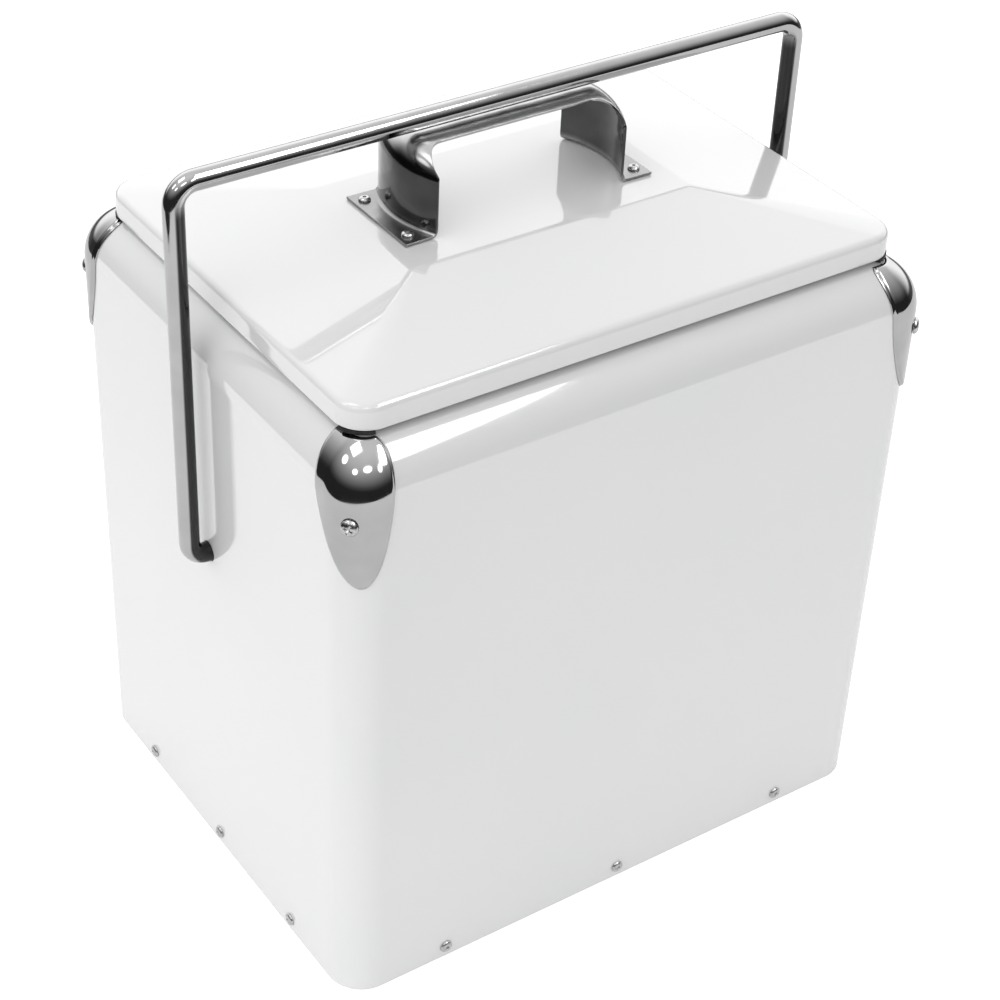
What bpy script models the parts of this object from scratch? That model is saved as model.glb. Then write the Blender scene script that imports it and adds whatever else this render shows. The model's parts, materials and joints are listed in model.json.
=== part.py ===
"""Picnic icebox: an enamelled steel cabinet with a lift-off lid and a swinging bail handle.

Metres, +Z up. The origin is the centre of the base. X runs along the long side and the
front faces -Y. Three empties carry the moving groups: cabinet, lid and bail.
"""
from math import cos, pi, radians, sin, sqrt

import bpy
import bmesh
from mathutils import Matrix, Vector

# ------------------------------------------------------------------ driving dimensions
GAP = 0.0003                 # clearance between pieces that touch
RUNNING = 0.0004             # radial clearance of a turning fit

BODY_LENGTH = 0.310          # along X
BODY_DEPTH = 0.248           # along Y
BODY_CORNER = 0.018          # vertical corner radius
SHOULDER_START = 0.282       # where the walls start to roll inwards
SHOULDER_RADIUS = 0.024
SHELL_GAUGE = 0.001
SHELL_FOOT = 0.0006          # the wall ends just above the pan's underside

PAN_GAUGE = 0.0012
PAN_FLANGE = 0.014           # height of the pan's upturned flange

CAVITY_LENGTH = 0.256        # ice cavity at its mouth
CAVITY_DEPTH = 0.194
CAVITY_CORNER = 0.016
CAVITY_DRAFT = 0.003         # each wall leans in by this much towards the floor
CAVITY_FLOOR = 0.032
CAVITY_FILLET = 0.007
LINER_GAUGE = 0.0016
LINER_FLANGE = (0.134, 0.103)
LINER_FLANGE_GAUGE = 0.0008

LID_LENGTH = 0.290
LID_DEPTH = 0.2186
LID_CORNER = 0.015
LID_RIM_BOTTOM = 0.308
LID_RIM_TOP = 0.3163         # where the rim starts to round over
LID_EDGE_RADIUS = 0.0035
LID_GAUGE = 0.0009
PLATEAU = (0.150, 0.0826)    # flat centre panel, along X and Y
PLATEAU_Z = 0.330
PLUG = (0.124, 0.093)        # half size of the lid's plug
PLUG_FLOOR = 0.293
LID_SEAT = 0.3114            # underside of the lid liner's flange

STRAP_GAUGE = 0.0012
STRAP_CROWN = 0.048          # radius of the strap's cross-section
STRAP_REACH = 0.0568         # leg's crown from the centre, along X
STRAP_TOP = 0.369
STRAP_BEND = 0.012
STRAP_LEG_HALF = 0.0245
STRAP_GRIP_HALF = 0.010
STRAP_GRIP_START = 0.040     # the grip keeps its width from here inwards
STRAP_NARROWS = 0.0025       # the leg keeps its width this far into the bend
STRAP_FOOT_REACH = 0.0662
STRAP_RIVETS = (0.0609, 0.018)

BAIL_ROD = 0.0095            # rod diameter
BAIL_REACH = 0.1644          # leg's centre from the middle, along X
BAIL_TOP_BEND = 0.010
BAIL_END_BEND = 0.0085
BAIL_TOP = 0.3751            # crossbar's centre height
PIVOT_Z = 0.1845
PIVOT_END = 0.1432           # inner end of the rod

CAP_TIP = 0.240              # lowest point of a corner cap
CAP_GAUGE = 0.0009
CAP_GAP = 0.0006             # the cap stands a little off the curved skin
CAP_HALF_WIDTH = 0.0193
CAP_WIDEST = 0.046           # from the tip, along the cap
CAP_LENGTH = 0.0713
CAP_SCREW_Z = 0.273

BASE_RIVET_Z = 0.0075
LONG_SIDE_RIVETS = (-0.101, 0.0, 0.101)
END_RIVETS = (-0.070, 0.0, 0.070)
RIVET_HEAD = 0.0032          # radius of a pop rivet's head
RIVET_SHANK = 0.0016

CORNER_STEPS = 5             # facets in each plan corner
SHOULDER_STEPS = 6
ROUND_SIDES = 10


# ------------------------------------------------------------------ scene and materials
def clear_scene():
    for item in list(bpy.data.objects):
        bpy.data.objects.remove(item, do_unlink=True)


def material(name, colour, roughness, metallic):
    mat = bpy.data.materials.new(name)
    mat.use_nodes = True
    shader = mat.node_tree.nodes["Principled BSDF"]
    shader.inputs["Base Color"].default_value = (*colour, 1.0)
    shader.inputs["Roughness"].default_value = roughness
    shader.inputs["Metallic"].default_value = metallic
    return mat


def empty(name, location):
    item = bpy.data.objects.new(name, None)
    item.location = location
    bpy.context.scene.collection.objects.link(item)
    return item


# ------------------------------------------------------------------ mesh helpers
def finish_mesh(bm, name):
    """Turn a bmesh into a mesh whose faces point outwards, smooth where it is round."""
    bmesh.ops.recalc_face_normals(bm, faces=bm.faces)
    mesh = bpy.data.meshes.new(name)
    bm.to_mesh(mesh)
    bm.free()
    mesh.shade_smooth()
    mesh.set_sharp_from_angle(angle=radians(35))
    return mesh


def place(name, data, mat, parent):
    """Link an object at its parent's joint, with its mesh given in the part's frame."""
    item = bpy.data.objects.new(name, data)
    item.data.materials.append(mat)
    bpy.context.scene.collection.objects.link(item)
    item.parent = parent
    item.location = -parent.location
    return item


def rounded_rect(half_x, half_y, radius, z):
    """Ring of points round a rectangle with rounded corners, anticlockwise from above."""
    centres = ((1, 1, 0), (-1, 1, 90), (-1, -1, 180), (1, -1, 270))
    ring = []
    for side_x, side_y, start in centres:
        for step in range(CORNER_STEPS + 1):
            angle = radians(start + 90 * step / CORNER_STEPS)
            ring.append(Vector((side_x * (half_x - radius) + radius * cos(angle),
                                side_y * (half_y - radius) + radius * sin(angle), z)))
    return ring


def bridge_rings(name, rings, looped=False):
    """Solid skinned over a stack of rings. Its ends are capped, or joined when looped."""
    bm = bmesh.new()
    loops = [[bm.verts.new(point) for point in ring] for ring in rings]
    pairs = list(zip(loops, loops[1:]))
    if looped:
        pairs.append((loops[-1], loops[0]))
    for low, high in pairs:
        for i in range(len(low)):
            j = (i + 1) % len(low)
            bm.faces.new((low[i], low[j], high[j], high[i]))
    if not looped:
        bm.faces.new(loops[0])
        bm.faces.new(reversed(loops[-1]))
    return finish_mesh(bm, name)


def sheet(name, rows):
    """Open sheet of faces through a grid of points."""
    bm = bmesh.new()
    grid = [[bm.verts.new(point) for point in row] for row in rows]
    for low, high in zip(grid, grid[1:]):
        for i in range(len(low) - 1):
            bm.faces.new((low[i], low[i + 1], high[i + 1], high[i]))
    mesh = bpy.data.meshes.new(name)
    bm.to_mesh(mesh)
    bm.free()
    mesh.shade_smooth()
    return mesh


def turned(name, profile, origin, axis, sides=ROUND_SIDES, bored=False):
    """Solid of revolution about a line. The profile lists (radius, distance along it)."""
    frame = Matrix.Translation(origin) @ Vector((0, 0, 1)).rotation_difference(axis).to_matrix().to_4x4()
    rings = []
    for radius, along in profile:
        rings.append([frame @ Vector((radius * cos(2 * pi * k / sides),
                                      radius * sin(2 * pi * k / sides), along))
                      for k in range(sides)])
    return bridge_rings(name, rings, looped=bored)


def thicken(item, gauge, even):
    """Give a sheet its gauge, on the side its normals point away from."""
    solid = item.modifiers.new("gauge", "SOLIDIFY")
    solid.thickness = gauge
    solid.offset = -1
    solid.use_even_offset = even


def cut(item, name, mesh):
    """Subtract a hidden cutter that stays in the scene as a wireframe."""
    cutter = bpy.data.objects.new(name, mesh)
    cutter.display_type = "WIRE"
    cutter.hide_render = True
    bpy.context.scene.collection.objects.link(cutter)
    boolean = item.modifiers.new(name, "BOOLEAN")
    boolean.operation = "DIFFERENCE"
    boolean.object = cutter


def drill_bits(name, holes):
    """One cutter for many round holes, each (centre, axis, radius, length)."""
    bm = bmesh.new()
    for centre, axis, radius, length in holes:
        turn = Vector((0, 0, 1)).rotation_difference(axis).to_matrix().to_4x4()
        bmesh.ops.create_cone(bm, cap_ends=True, segments=ROUND_SIDES, radius1=radius,
                              radius2=radius, depth=length, matrix=Matrix.Translation(centre) @ turn)
    return finish_mesh(bm, name)


def block(name, low, high):
    bm = bmesh.new()
    size = Vector(high) - Vector(low)
    middle = (Vector(high) + Vector(low)) / 2
    bmesh.ops.create_cube(bm, size=1.0, matrix=Matrix.Translation(middle) @ Matrix.Diagonal((*size, 1)))
    return finish_mesh(bm, name)


# ------------------------------------------------------------------ cabinet walls
def wall_ring(inset, z, corner=None):
    """Ring round the cabinet, inset from its outer faces."""
    radius = BODY_CORNER - inset if corner is None else corner
    return rounded_rect(BODY_LENGTH / 2 - inset, BODY_DEPTH / 2 - inset, radius, z)


def shoulder_rings(depth):
    """Rings up the rolled shoulder, on the surface this far inside the outer skin."""
    rings = []
    for step in range(SHOULDER_STEPS + 1):
        angle = radians(90 * step / SHOULDER_STEPS)
        radius = SHOULDER_RADIUS - depth
        corner = max((BODY_CORNER - depth) * cos(angle), 0.0006)
        rings.append(wall_ring(SHOULDER_RADIUS - radius * cos(angle),
                               SHOULDER_START + radius * sin(angle), corner))
    return rings


def mouth_ring(clearance, z):
    """Ring round the outside of the liner's mouth."""
    grow = LINER_GAUGE + clearance
    return rounded_rect(CAVITY_LENGTH / 2 + grow, CAVITY_DEPTH / 2 + grow, CAVITY_CORNER + grow, z)


def cavity_ring(grow, z):
    """Ring round the cavity's drafted wall, grown outwards from its inner face."""
    lean = CAVITY_DRAFT * (1 - (z - CAVITY_FLOOR) / (SHOULDER_START + SHOULDER_RADIUS - CAVITY_FLOOR))
    return rounded_rect(CAVITY_LENGTH / 2 - lean + grow, CAVITY_DEPTH / 2 - lean + grow,
                        CAVITY_CORNER + grow, z)


def cavity_floor_rings(grow):
    """Rings from the cavity's floor up its filleted corner to the mouth, for a surface grown outwards."""
    floor = CAVITY_FLOOR - grow
    flat = cavity_ring(grow - CAVITY_FILLET, floor)
    return [flat, cavity_ring(grow - CAVITY_FILLET * 0.3, floor + CAVITY_FILLET * 0.3),
            cavity_ring(grow, floor + CAVITY_FILLET)]


def corner_direction(side_x, side_y):
    return Vector((side_x, side_y, 0)).normalized()


def corner_axis_point(side_x, side_y, z):
    return Vector((side_x * (BODY_LENGTH / 2 - BODY_CORNER), side_y * (BODY_DEPTH / 2 - BODY_CORNER), z))


CORNERS = {"front_left": (-1, -1), "front_right": (1, -1), "back_left": (-1, 1), "back_right": (1, 1)}


def base_rivet_places():
    """Name, point on the outer face and outward direction of each rivet round the base."""
    places = []
    for side, word in ((-1, "front"), (1, "back")):
        for number, x in enumerate(LONG_SIDE_RIVETS, 1):
            places.append((f"base_rivet_{word}_{number}", Vector((x, side * BODY_DEPTH / 2, BASE_RIVET_Z)),
                           Vector((0, side, 0))))
    for side, word in ((-1, "left"), (1, "right")):
        for number, y in enumerate(END_RIVETS, 1):
            places.append((f"base_rivet_{word}_{number}", Vector((side * BODY_LENGTH / 2, y, BASE_RIVET_Z)),
                           Vector((side, 0, 0))))
    return places


def pop_rivet(name, seat, outward, grip, mat, parent, head=RIVET_HEAD, shank=RIVET_SHANK):
    """Domed head on the seat, shank through the grip and a swollen blind end behind it."""
    dome = 0.55 * head
    profile = [(shank * 1.3, -grip - 0.0020), (shank * 1.5, -grip - GAP), (shank, -grip - GAP),
               (shank, GAP), (head, GAP), (head * 0.75, GAP + dome * 0.75), (head * 0.3, GAP + dome)]
    return place(name, turned(name, profile, seat, outward), mat, parent)


def make_outer_shell(mats, parent):
    rings = [wall_ring(0, SHELL_FOOT)] + shoulder_rings(0)
    rings += [mouth_ring(RUNNING, SHOULDER_START + SHOULDER_RADIUS)]
    rings += [mouth_ring(RUNNING, SHOULDER_START + SHOULDER_RADIUS - SHELL_GAUGE)]
    rings += list(reversed(shoulder_rings(SHELL_GAUGE))) + [wall_ring(SHELL_GAUGE, SHELL_FOOT)]
    shell = place("outer_shell", bridge_rings("outer_shell", rings, looped=True), mats["enamel"], parent)
    holes = [(seat, outward, RIVET_SHANK + GAP, 0.006) for _, seat, outward in base_rivet_places()]
    for side in (-1, 1):
        holes.append((Vector((side * BODY_LENGTH / 2, 0, PIVOT_Z)), Vector((side, 0, 0)),
                      BAIL_ROD / 2 + RUNNING, 0.006))
    for side_x, side_y in CORNERS.values():
        out = corner_direction(side_x, side_y)
        holes.append((corner_axis_point(side_x, side_y, CAP_SCREW_Z) + out * BODY_CORNER, out,
                      RIVET_SHANK + GAP, 0.006))
    cut(shell, "shell_drill", drill_bits("shell_drill", holes))


def make_base_pan(mats, parent):
    skirt = SHELL_GAUGE + GAP
    inner = skirt + PAN_GAUGE
    rings = [wall_ring(skirt + 0.0015, 0.0), wall_ring(skirt, 0.0015), wall_ring(skirt, PAN_FLANGE),
             wall_ring(inner, PAN_FLANGE), wall_ring(inner, PAN_GAUGE)]
    pan = place("base_pan", bridge_rings("base_pan", rings), mats["enamel"], parent)
    holes = [(seat - outward * inner, outward, RIVET_SHANK + GAP, 0.006)
             for _, seat, outward in base_rivet_places()]
    cut(pan, "pan_drill", drill_bits("pan_drill", holes))


def make_base_rivets(mats, parent):
    for name, seat, outward in base_rivet_places():
        pop_rivet(name, seat, outward, SHELL_GAUGE + GAP + PAN_GAUGE, mats["polished_steel"], parent)


def make_inner_liner(mats, parent):
    top = SHOULDER_START + SHOULDER_RADIUS + GAP
    flange = rounded_rect(*LINER_FLANGE, CAVITY_CORNER, top)
    lip = rounded_rect(*LINER_FLANGE, CAVITY_CORNER, top + LINER_FLANGE_GAUGE)
    rings = cavity_floor_rings(LINER_GAUGE) + [cavity_ring(LINER_GAUGE, top), flange, lip]
    rings += [cavity_ring(0, top + LINER_FLANGE_GAUGE)] + list(reversed(cavity_floor_rings(0)))
    place("inner_liner", bridge_rings("inner_liner", rings), mats["liner"], parent)


def make_cabinet_insulation(mats, parent):
    foot_inset = 0.0055                  # clears the blind ends of the base rivets
    step = PAN_FLANGE + 0.001
    skin = SHELL_GAUGE + RUNNING
    grow = LINER_GAUGE + RUNNING
    top = shoulder_rings(skin)[-1][0].z
    rings = [wall_ring(foot_inset, PAN_GAUGE + RUNNING), wall_ring(foot_inset, step), wall_ring(skin, step)]
    rings += shoulder_rings(skin) + [cavity_ring(grow, top)] + list(reversed(cavity_floor_rings(grow)))
    foam = place("cabinet_insulation", bridge_rings("cabinet_insulation", rings), mats["foam"], parent)
    pocket_depth = 0.014
    for side, word in ((-1, "left"), (1, "right")):
        near, far = BODY_LENGTH / 2 - pocket_depth, BODY_LENGTH / 2
        low_x, high_x = sorted((side * near, side * far))
        cut(foam, f"pivot_pocket_{word}", block(f"pivot_pocket_{word}", (low_x, -0.026, PIVOT_Z - 0.024),
                                                (high_x, 0.026, PIVOT_Z + 0.024)))
    holes = []
    for side_x, side_y in CORNERS.values():
        out = corner_direction(side_x, side_y)
        holes.append((corner_axis_point(side_x, side_y, CAP_SCREW_Z) + out * BODY_CORNER * 0.75, out,
                      0.003, 0.020))
    cut(foam, "foam_drill", drill_bits("foam_drill", holes))


# ------------------------------------------------------------------ corner caps
def corner_surface(side_x, side_y, across, up):
    """Point on the cabinet's skin near a corner.

    across is the distance round the corner from its middle, up the distance above the cap's tip.
    """
    straight = SHOULDER_START - CAP_TIP
    angle = max(0.0, (up - straight) / SHOULDER_RADIUS)
    inset = SHOULDER_RADIUS * (1 - cos(angle))
    z = CAP_TIP + min(up, straight) + SHOULDER_RADIUS * sin(angle)
    radius = BODY_CORNER * cos(angle)
    half_arc = radius * pi / 4
    turn = max(-half_arc, min(half_arc, across)) / radius + pi / 4
    x = BODY_LENGTH / 2 - inset - radius + radius * cos(turn)
    y = BODY_DEPTH / 2 - inset - radius + radius * sin(turn)
    if across > half_arc:
        x -= across - half_arc
    if across < -half_arc:
        y -= -half_arc - across
    return Vector((side_x * x, side_y * y, z))


def lifted_corner_surface(side_x, side_y, across, up, lift):
    """The same point, raised off the skin along its normal."""
    small = 0.0004
    point = corner_surface(side_x, side_y, across, up)
    round_way = (corner_surface(side_x, side_y, across + small, up)
                 - corner_surface(side_x, side_y, across - small, up))
    up_way = (corner_surface(side_x, side_y, across, up + small)
              - corner_surface(side_x, side_y, across, up - small))
    normal = round_way.cross(up_way).normalized()
    if normal.dot(Vector((side_x, side_y, 0.2))) < 0:
        normal.negate()
    return point + normal * lift


def cap_half_width(up):
    """Teardrop outline: a superellipse below the widest point and an ellipse above it."""
    if up < CAP_WIDEST:
        return CAP_HALF_WIDTH * (1 - ((CAP_WIDEST - up) / CAP_WIDEST) ** 1.25) ** (1 / 1.8)
    return CAP_HALF_WIDTH * sqrt(1 - ((up - CAP_WIDEST) / 0.0278) ** 2)


def make_corner_caps(mats, parent):
    rows, columns = 12, 8
    for word, (side_x, side_y) in CORNERS.items():
        grid = []
        for row in range(rows):
            up = 0.0006 + (CAP_LENGTH - 0.0006) * (row / (rows - 1)) ** 1.15
            half = cap_half_width(up)
            grid.append([lifted_corner_surface(side_x, side_y, half * (2 * column / columns - 1), up,
                                               CAP_GAP + CAP_GAUGE) for column in range(columns + 1)])
        if side_x * side_y < 0:
            grid = [list(reversed(row)) for row in grid]
        cap = place(f"corner_cap_{word}", sheet(f"corner_cap_{word}", grid), mats["chrome"], parent)
        thicken(cap, CAP_GAUGE, even=False)
        out = corner_direction(side_x, side_y)
        centre = corner_axis_point(side_x, side_y, CAP_SCREW_Z) + out * BODY_CORNER
        cut(cap, f"cap_drill_{word}", drill_bits(f"cap_drill_{word}",
                                                 [(centre, out, RIVET_SHANK + GAP, 0.012)]))


def phillips_cutter(name, seat, outward, across, depth):
    """Cross-shaped cutter sunk into a screw's head."""
    frame = Matrix.Translation(seat) @ Vector((0, 0, 1)).rotation_difference(outward).to_matrix().to_4x4()
    arm, slot = across / 2, across / 8
    plan = [(arm, -slot), (arm, slot), (slot, slot), (slot, arm), (-slot, arm), (-slot, slot),
            (-arm, slot), (-arm, -slot), (-slot, -slot), (-slot, -arm), (slot, -arm), (slot, -slot)]
    rings = [[frame @ Vector((x, y, z)) for x, y in plan] for z in (0, depth)]
    return bridge_rings(name, rings)


def make_cap_screws(mats, parent):
    head, rise = 0.004, 0.0024
    for word, (side_x, side_y) in CORNERS.items():
        out = corner_direction(side_x, side_y)
        seat = corner_axis_point(side_x, side_y, CAP_SCREW_Z) + out * (BODY_CORNER + CAP_GAP + CAP_GAUGE + GAP)
        profile = [(0.0004, -0.010), (RIVET_SHANK, -0.0075), (RIVET_SHANK, 0), (head, 0),
                   (head * 0.98, rise * 0.45), (head * 0.8, rise * 0.8), (head * 0.45, rise)]
        name = f"cap_screw_{word}"
        screw = place(name, turned(name, profile, seat, out), mats["polished_steel"], parent)
        cut(screw, f"phillips_{word}", phillips_cutter(f"phillips_{word}", seat + out * rise * 0.45,
                                                       out, head * 1.15, rise))


# ------------------------------------------------------------------ pivots of the bail
def make_pivots(mats, cabinet, bail):
    """Plate and nylon bush behind each end wall, then the washer and clip that hold the rod in."""
    bore = BAIL_ROD / 2 + RUNNING
    plate_face = BODY_LENGTH / 2 - SHELL_GAUGE - GAP
    plate_gauge, bush_length, washer_gauge, clip_gauge = 0.002, 0.0036, 0.001, 0.001
    for side, word in ((-1, "left"), (1, "right")):
        inward = Vector((-side, 0, 0))
        low_x, high_x = sorted((side * (plate_face - plate_gauge), side * plate_face))
        plate = place(f"pivot_plate_{word}", block(f"pivot_plate_{word}", (low_x, -0.022, PIVOT_Z - 0.020),
                                                   (high_x, 0.022, PIVOT_Z + 0.020)), mats["zinc"], cabinet)
        cut(plate, f"plate_drill_{word}", drill_bits(f"plate_drill_{word}", [
            (Vector((side * plate_face, 0, PIVOT_Z)), inward, bore, 0.010)]))
        seat = plate_face - plate_gauge - GAP
        start = Vector((side * seat, 0, PIVOT_Z))
        bush = [(bore, 0), (0.0095, 0), (0.0095, 0.0012), (0.0072, 0.0012), (0.0072, bush_length),
                (bore, bush_length)]
        place(f"pivot_bush_{word}", turned(f"pivot_bush_{word}", bush, start, inward, 16, bored=True),
              mats["nylon"], cabinet)
        seat -= bush_length + GAP
        start = Vector((side * seat, 0, PIVOT_Z))
        washer = [(bore, 0), (0.0095, 0), (0.0095, washer_gauge), (bore, washer_gauge)]
        place(f"pivot_washer_{word}", turned(f"pivot_washer_{word}", washer, start, inward, 16, bored=True),
              mats["zinc"], bail)
        seat -= washer_gauge + GAP
        start = Vector((side * seat, 0, PIVOT_Z))
        clip = [(bore - GAP / 2, 0), (0.0078, 0), (0.0078, clip_gauge), (bore - GAP / 2, clip_gauge)]
        place(f"pivot_clip_{word}", turned(f"pivot_clip_{word}", clip, start, inward, 16, bored=True),
              mats["zinc"], bail)


def arc_points(centre, start, end, radius, steps):
    """Points in the XZ plane along an arc, with its angles in degrees from +X towards +Z."""
    return [Vector((centre[0] + radius * cos(radians(start + (end - start) * k / steps)), 0,
                    centre[1] + radius * sin(radians(start + (end - start) * k / steps))))
            for k in range(steps + 1)]


def make_bail_handle(mats, parent):
    half = [Vector((PIVOT_END, 0, PIVOT_Z))]
    half += arc_points((BAIL_REACH - BAIL_END_BEND, PIVOT_Z + BAIL_END_BEND), -90, 0, BAIL_END_BEND, 5)
    half += arc_points((BAIL_REACH - BAIL_TOP_BEND, BAIL_TOP - BAIL_TOP_BEND), 0, 90, BAIL_TOP_BEND, 6)
    path = half + [Vector((-point.x, 0, point.z)) for point in reversed(half)]
    curve = bpy.data.curves.new("bail_handle", "CURVE")
    curve.dimensions = "3D"
    curve.bevel_depth = BAIL_ROD / 2
    curve.bevel_resolution = 4
    curve.use_fill_caps = True
    spline = curve.splines.new("POLY")
    spline.points.add(len(path) - 1)
    for point, place_at in zip(spline.points, path):
        point.co = (*place_at, 1)
    place("bail_handle", curve, mats["chrome"], parent)


# ------------------------------------------------------------------ lid
def lid_ring(inset, z):
    return rounded_rect(LID_LENGTH / 2 - inset, LID_DEPTH / 2 - inset, LID_CORNER - inset, z)


def plateau_ring(z):
    return rounded_rect(PLATEAU[0] / 2, PLATEAU[1] / 2, 0.002, z)


def lid_rings(depth):
    """Rings from the rim up to the plateau, on the surface this far inside the lid's skin."""
    rings = [lid_ring(depth, LID_RIM_BOTTOM)]
    radius = LID_EDGE_RADIUS - depth
    for step in range(4):
        angle = radians(81 * step / 3)
        rings.append(lid_ring(LID_EDGE_RADIUS - radius * cos(angle), LID_RIM_TOP + radius * sin(angle)))
    rings.append(plateau_ring(PLATEAU_Z - depth))
    return rings


def strap_rivet_places():
    return {f"strap_rivet_{word}": Vector((side_x * STRAP_RIVETS[0], side_y * STRAP_RIVETS[1], PLATEAU_Z))
            for word, (side_x, side_y) in CORNERS.items()}


def make_lid_skin(mats, parent):
    rings = list(reversed(lid_rings(0))) + lid_rings(LID_GAUGE)
    skin = place("lid_skin", bridge_rings("lid_skin", rings), mats["enamel"], parent)
    holes = [(point, Vector((0, 0, 1)), RIVET_SHANK + GAP, 0.006) for point in strap_rivet_places().values()]
    cut(skin, "lid_drill", drill_bits("lid_drill", holes))


def make_lid_liner(mats, parent):
    gauge, flange_gauge = 0.0014, 0.001
    rim = LID_GAUGE + GAP

    def plug(shrink, z):
        return rounded_rect(PLUG[0] - shrink, PLUG[1] - shrink, 0.014 - min(shrink, 0.008), z)

    rings = [plug(0.006, PLUG_FLOOR), plug(0, PLUG_FLOOR + 0.005), plug(0, LID_SEAT), lid_ring(rim, LID_SEAT),
             lid_ring(rim, LID_SEAT + flange_gauge), plug(gauge, LID_SEAT + flange_gauge),
             plug(gauge, PLUG_FLOOR + 0.005 + gauge / 2), plug(0.006 + gauge / 2, PLUG_FLOOR + gauge)]
    place("lid_liner", bridge_rings("lid_liner", rings), mats["liner"], parent)


def make_lid_insulation(mats, parent):
    shrink, corner = 0.0020, 0.012
    seat = LID_SEAT + 0.001 + RUNNING
    rings = [rounded_rect(PLUG[0] - 0.009, PLUG[1] - 0.009, 0.008, PLUG_FLOOR + 0.0020),
             rounded_rect(PLUG[0] - shrink, PLUG[1] - shrink, corner, PLUG_FLOOR + 0.0070),
             rounded_rect(PLUG[0] - shrink, PLUG[1] - shrink, corner, seat),
             lid_ring(0.0015, seat), lid_ring(0.0015, LID_RIM_TOP), lid_ring(0.004, LID_RIM_TOP + 0.0012),
             plateau_ring(PLATEAU_Z - 0.0052)]
    place("lid_insulation", bridge_rings("lid_insulation", rings), mats["foam"], parent)


def make_lid_gasket(mats, parent):
    outer = (0.1395, 0.104, 0.009)
    inner = (0.1305, 0.0995, 0.007)
    low, high = SHOULDER_START + SHOULDER_RADIUS + 2 * GAP + LINER_FLANGE_GAUGE, LID_SEAT - GAP
    rings = [rounded_rect(*outer, low), rounded_rect(*outer, high), rounded_rect(*inner, high),
             rounded_rect(*inner, low)]
    place("lid_gasket", bridge_rings("lid_gasket", rings, looped=True), mats["rubber"], parent)


def strap_station(x, z, normal, half_width, columns):
    """Row of points across the strap: an arc bulging along the normal."""
    row = []
    for column in range(columns + 1):
        y = half_width * (2 * column / columns - 1)
        drop = STRAP_CROWN - sqrt(STRAP_CROWN ** 2 - y ** 2)
        row.append(Vector((x - normal[0] * drop, y, z - normal[1] * drop)))
    return row


def smooth_step(t):
    return t * t * (3 - 2 * t)


def strap_half_rows(columns):
    """Rows of the strap's outer face from the right foot's tip up to the middle of the grip."""
    foot_z = PLATEAU_Z + GAP + STRAP_GAUGE
    heel = 0.002
    leg_foot = strap_station(STRAP_REACH, foot_z + heel, (1, 0), STRAP_LEG_HALF, columns)
    foot_half = STRAP_LEG_HALF + 0.0003
    rows = [[Vector((STRAP_FOOT_REACH, foot_half * (2 * column / columns - 1), foot_z))
             for column in range(columns + 1)]]
    rows.append([point + Vector((heel, 0, -heel)) for point in leg_foot])
    rows.append([point + Vector((heel * 0.3, 0, -heel * 0.7)) for point in leg_foot])
    rows.append(leg_foot)
    bend_z = STRAP_TOP - STRAP_BEND
    rows.append(strap_station(STRAP_REACH, bend_z, (1, 0), STRAP_LEG_HALF, columns))
    narrowing = STRAP_BEND * pi / 2 + STRAP_REACH - STRAP_BEND - STRAP_GRIP_START - STRAP_NARROWS
    for step in range(1, 9):
        angle = pi / 2 * step / 8
        share = smooth_step(max(0.0, STRAP_BEND * angle - STRAP_NARROWS) / narrowing)
        half = STRAP_LEG_HALF + (STRAP_GRIP_HALF - STRAP_LEG_HALF) * share
        x, z = STRAP_REACH - STRAP_BEND * (1 - cos(angle)), bend_z + STRAP_BEND * sin(angle)
        rows.append(strap_station(x, z, (cos(angle), sin(angle)), half, columns))
    for x in (STRAP_GRIP_START, 0.0):
        rows.append(strap_station(x, STRAP_TOP, (0, 1), STRAP_GRIP_HALF, columns))
    return rows


def make_strap_handle(mats, parent):
    columns = 8
    half = strap_half_rows(columns)
    mirrored = [[Vector((-point.x, point.y, point.z)) for point in row] for row in reversed(half[:-1])]
    strap = place("lid_strap_handle", sheet("lid_strap_handle", half + mirrored), mats["stainless"], parent)
    thicken(strap, STRAP_GAUGE, even=True)
    holes = [(point, Vector((0, 0, 1)), RIVET_SHANK + GAP, 0.010) for point in strap_rivet_places().values()]
    cut(strap, "strap_drill", drill_bits("strap_drill", holes))


def make_strap_fixings(mats, parent):
    """Backing plate under each foot of the strap, and the rivets through foot, skin and plate."""
    plate_gauge = 0.0012
    top = PLATEAU_Z - LID_GAUGE - GAP
    for side, word in ((-1, "left"), (1, "right")):
        low_x, high_x = sorted((side * 0.056, side * 0.068))
        plate = place(f"strap_backing_plate_{word}",
                      block(f"strap_backing_plate_{word}", (low_x, -0.024, top - plate_gauge),
                            (high_x, 0.024, top)), mats["zinc"], parent)
        bits = [(Vector((side * STRAP_RIVETS[0], end * STRAP_RIVETS[1], top)), Vector((0, 0, 1)),
                 RIVET_SHANK + GAP, 0.006) for end in (-1, 1)]
        cut(plate, f"backing_drill_{word}", drill_bits(f"backing_drill_{word}", bits))
    seat_rise = GAP + STRAP_GAUGE
    grip = seat_rise + LID_GAUGE + GAP + plate_gauge
    for name, point in strap_rivet_places().items():
        pop_rivet(name, point + Vector((0, 0, seat_rise)), Vector((0, 0, 1)), grip, mats["polished_steel"],
                  parent, head=0.0029)


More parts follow.
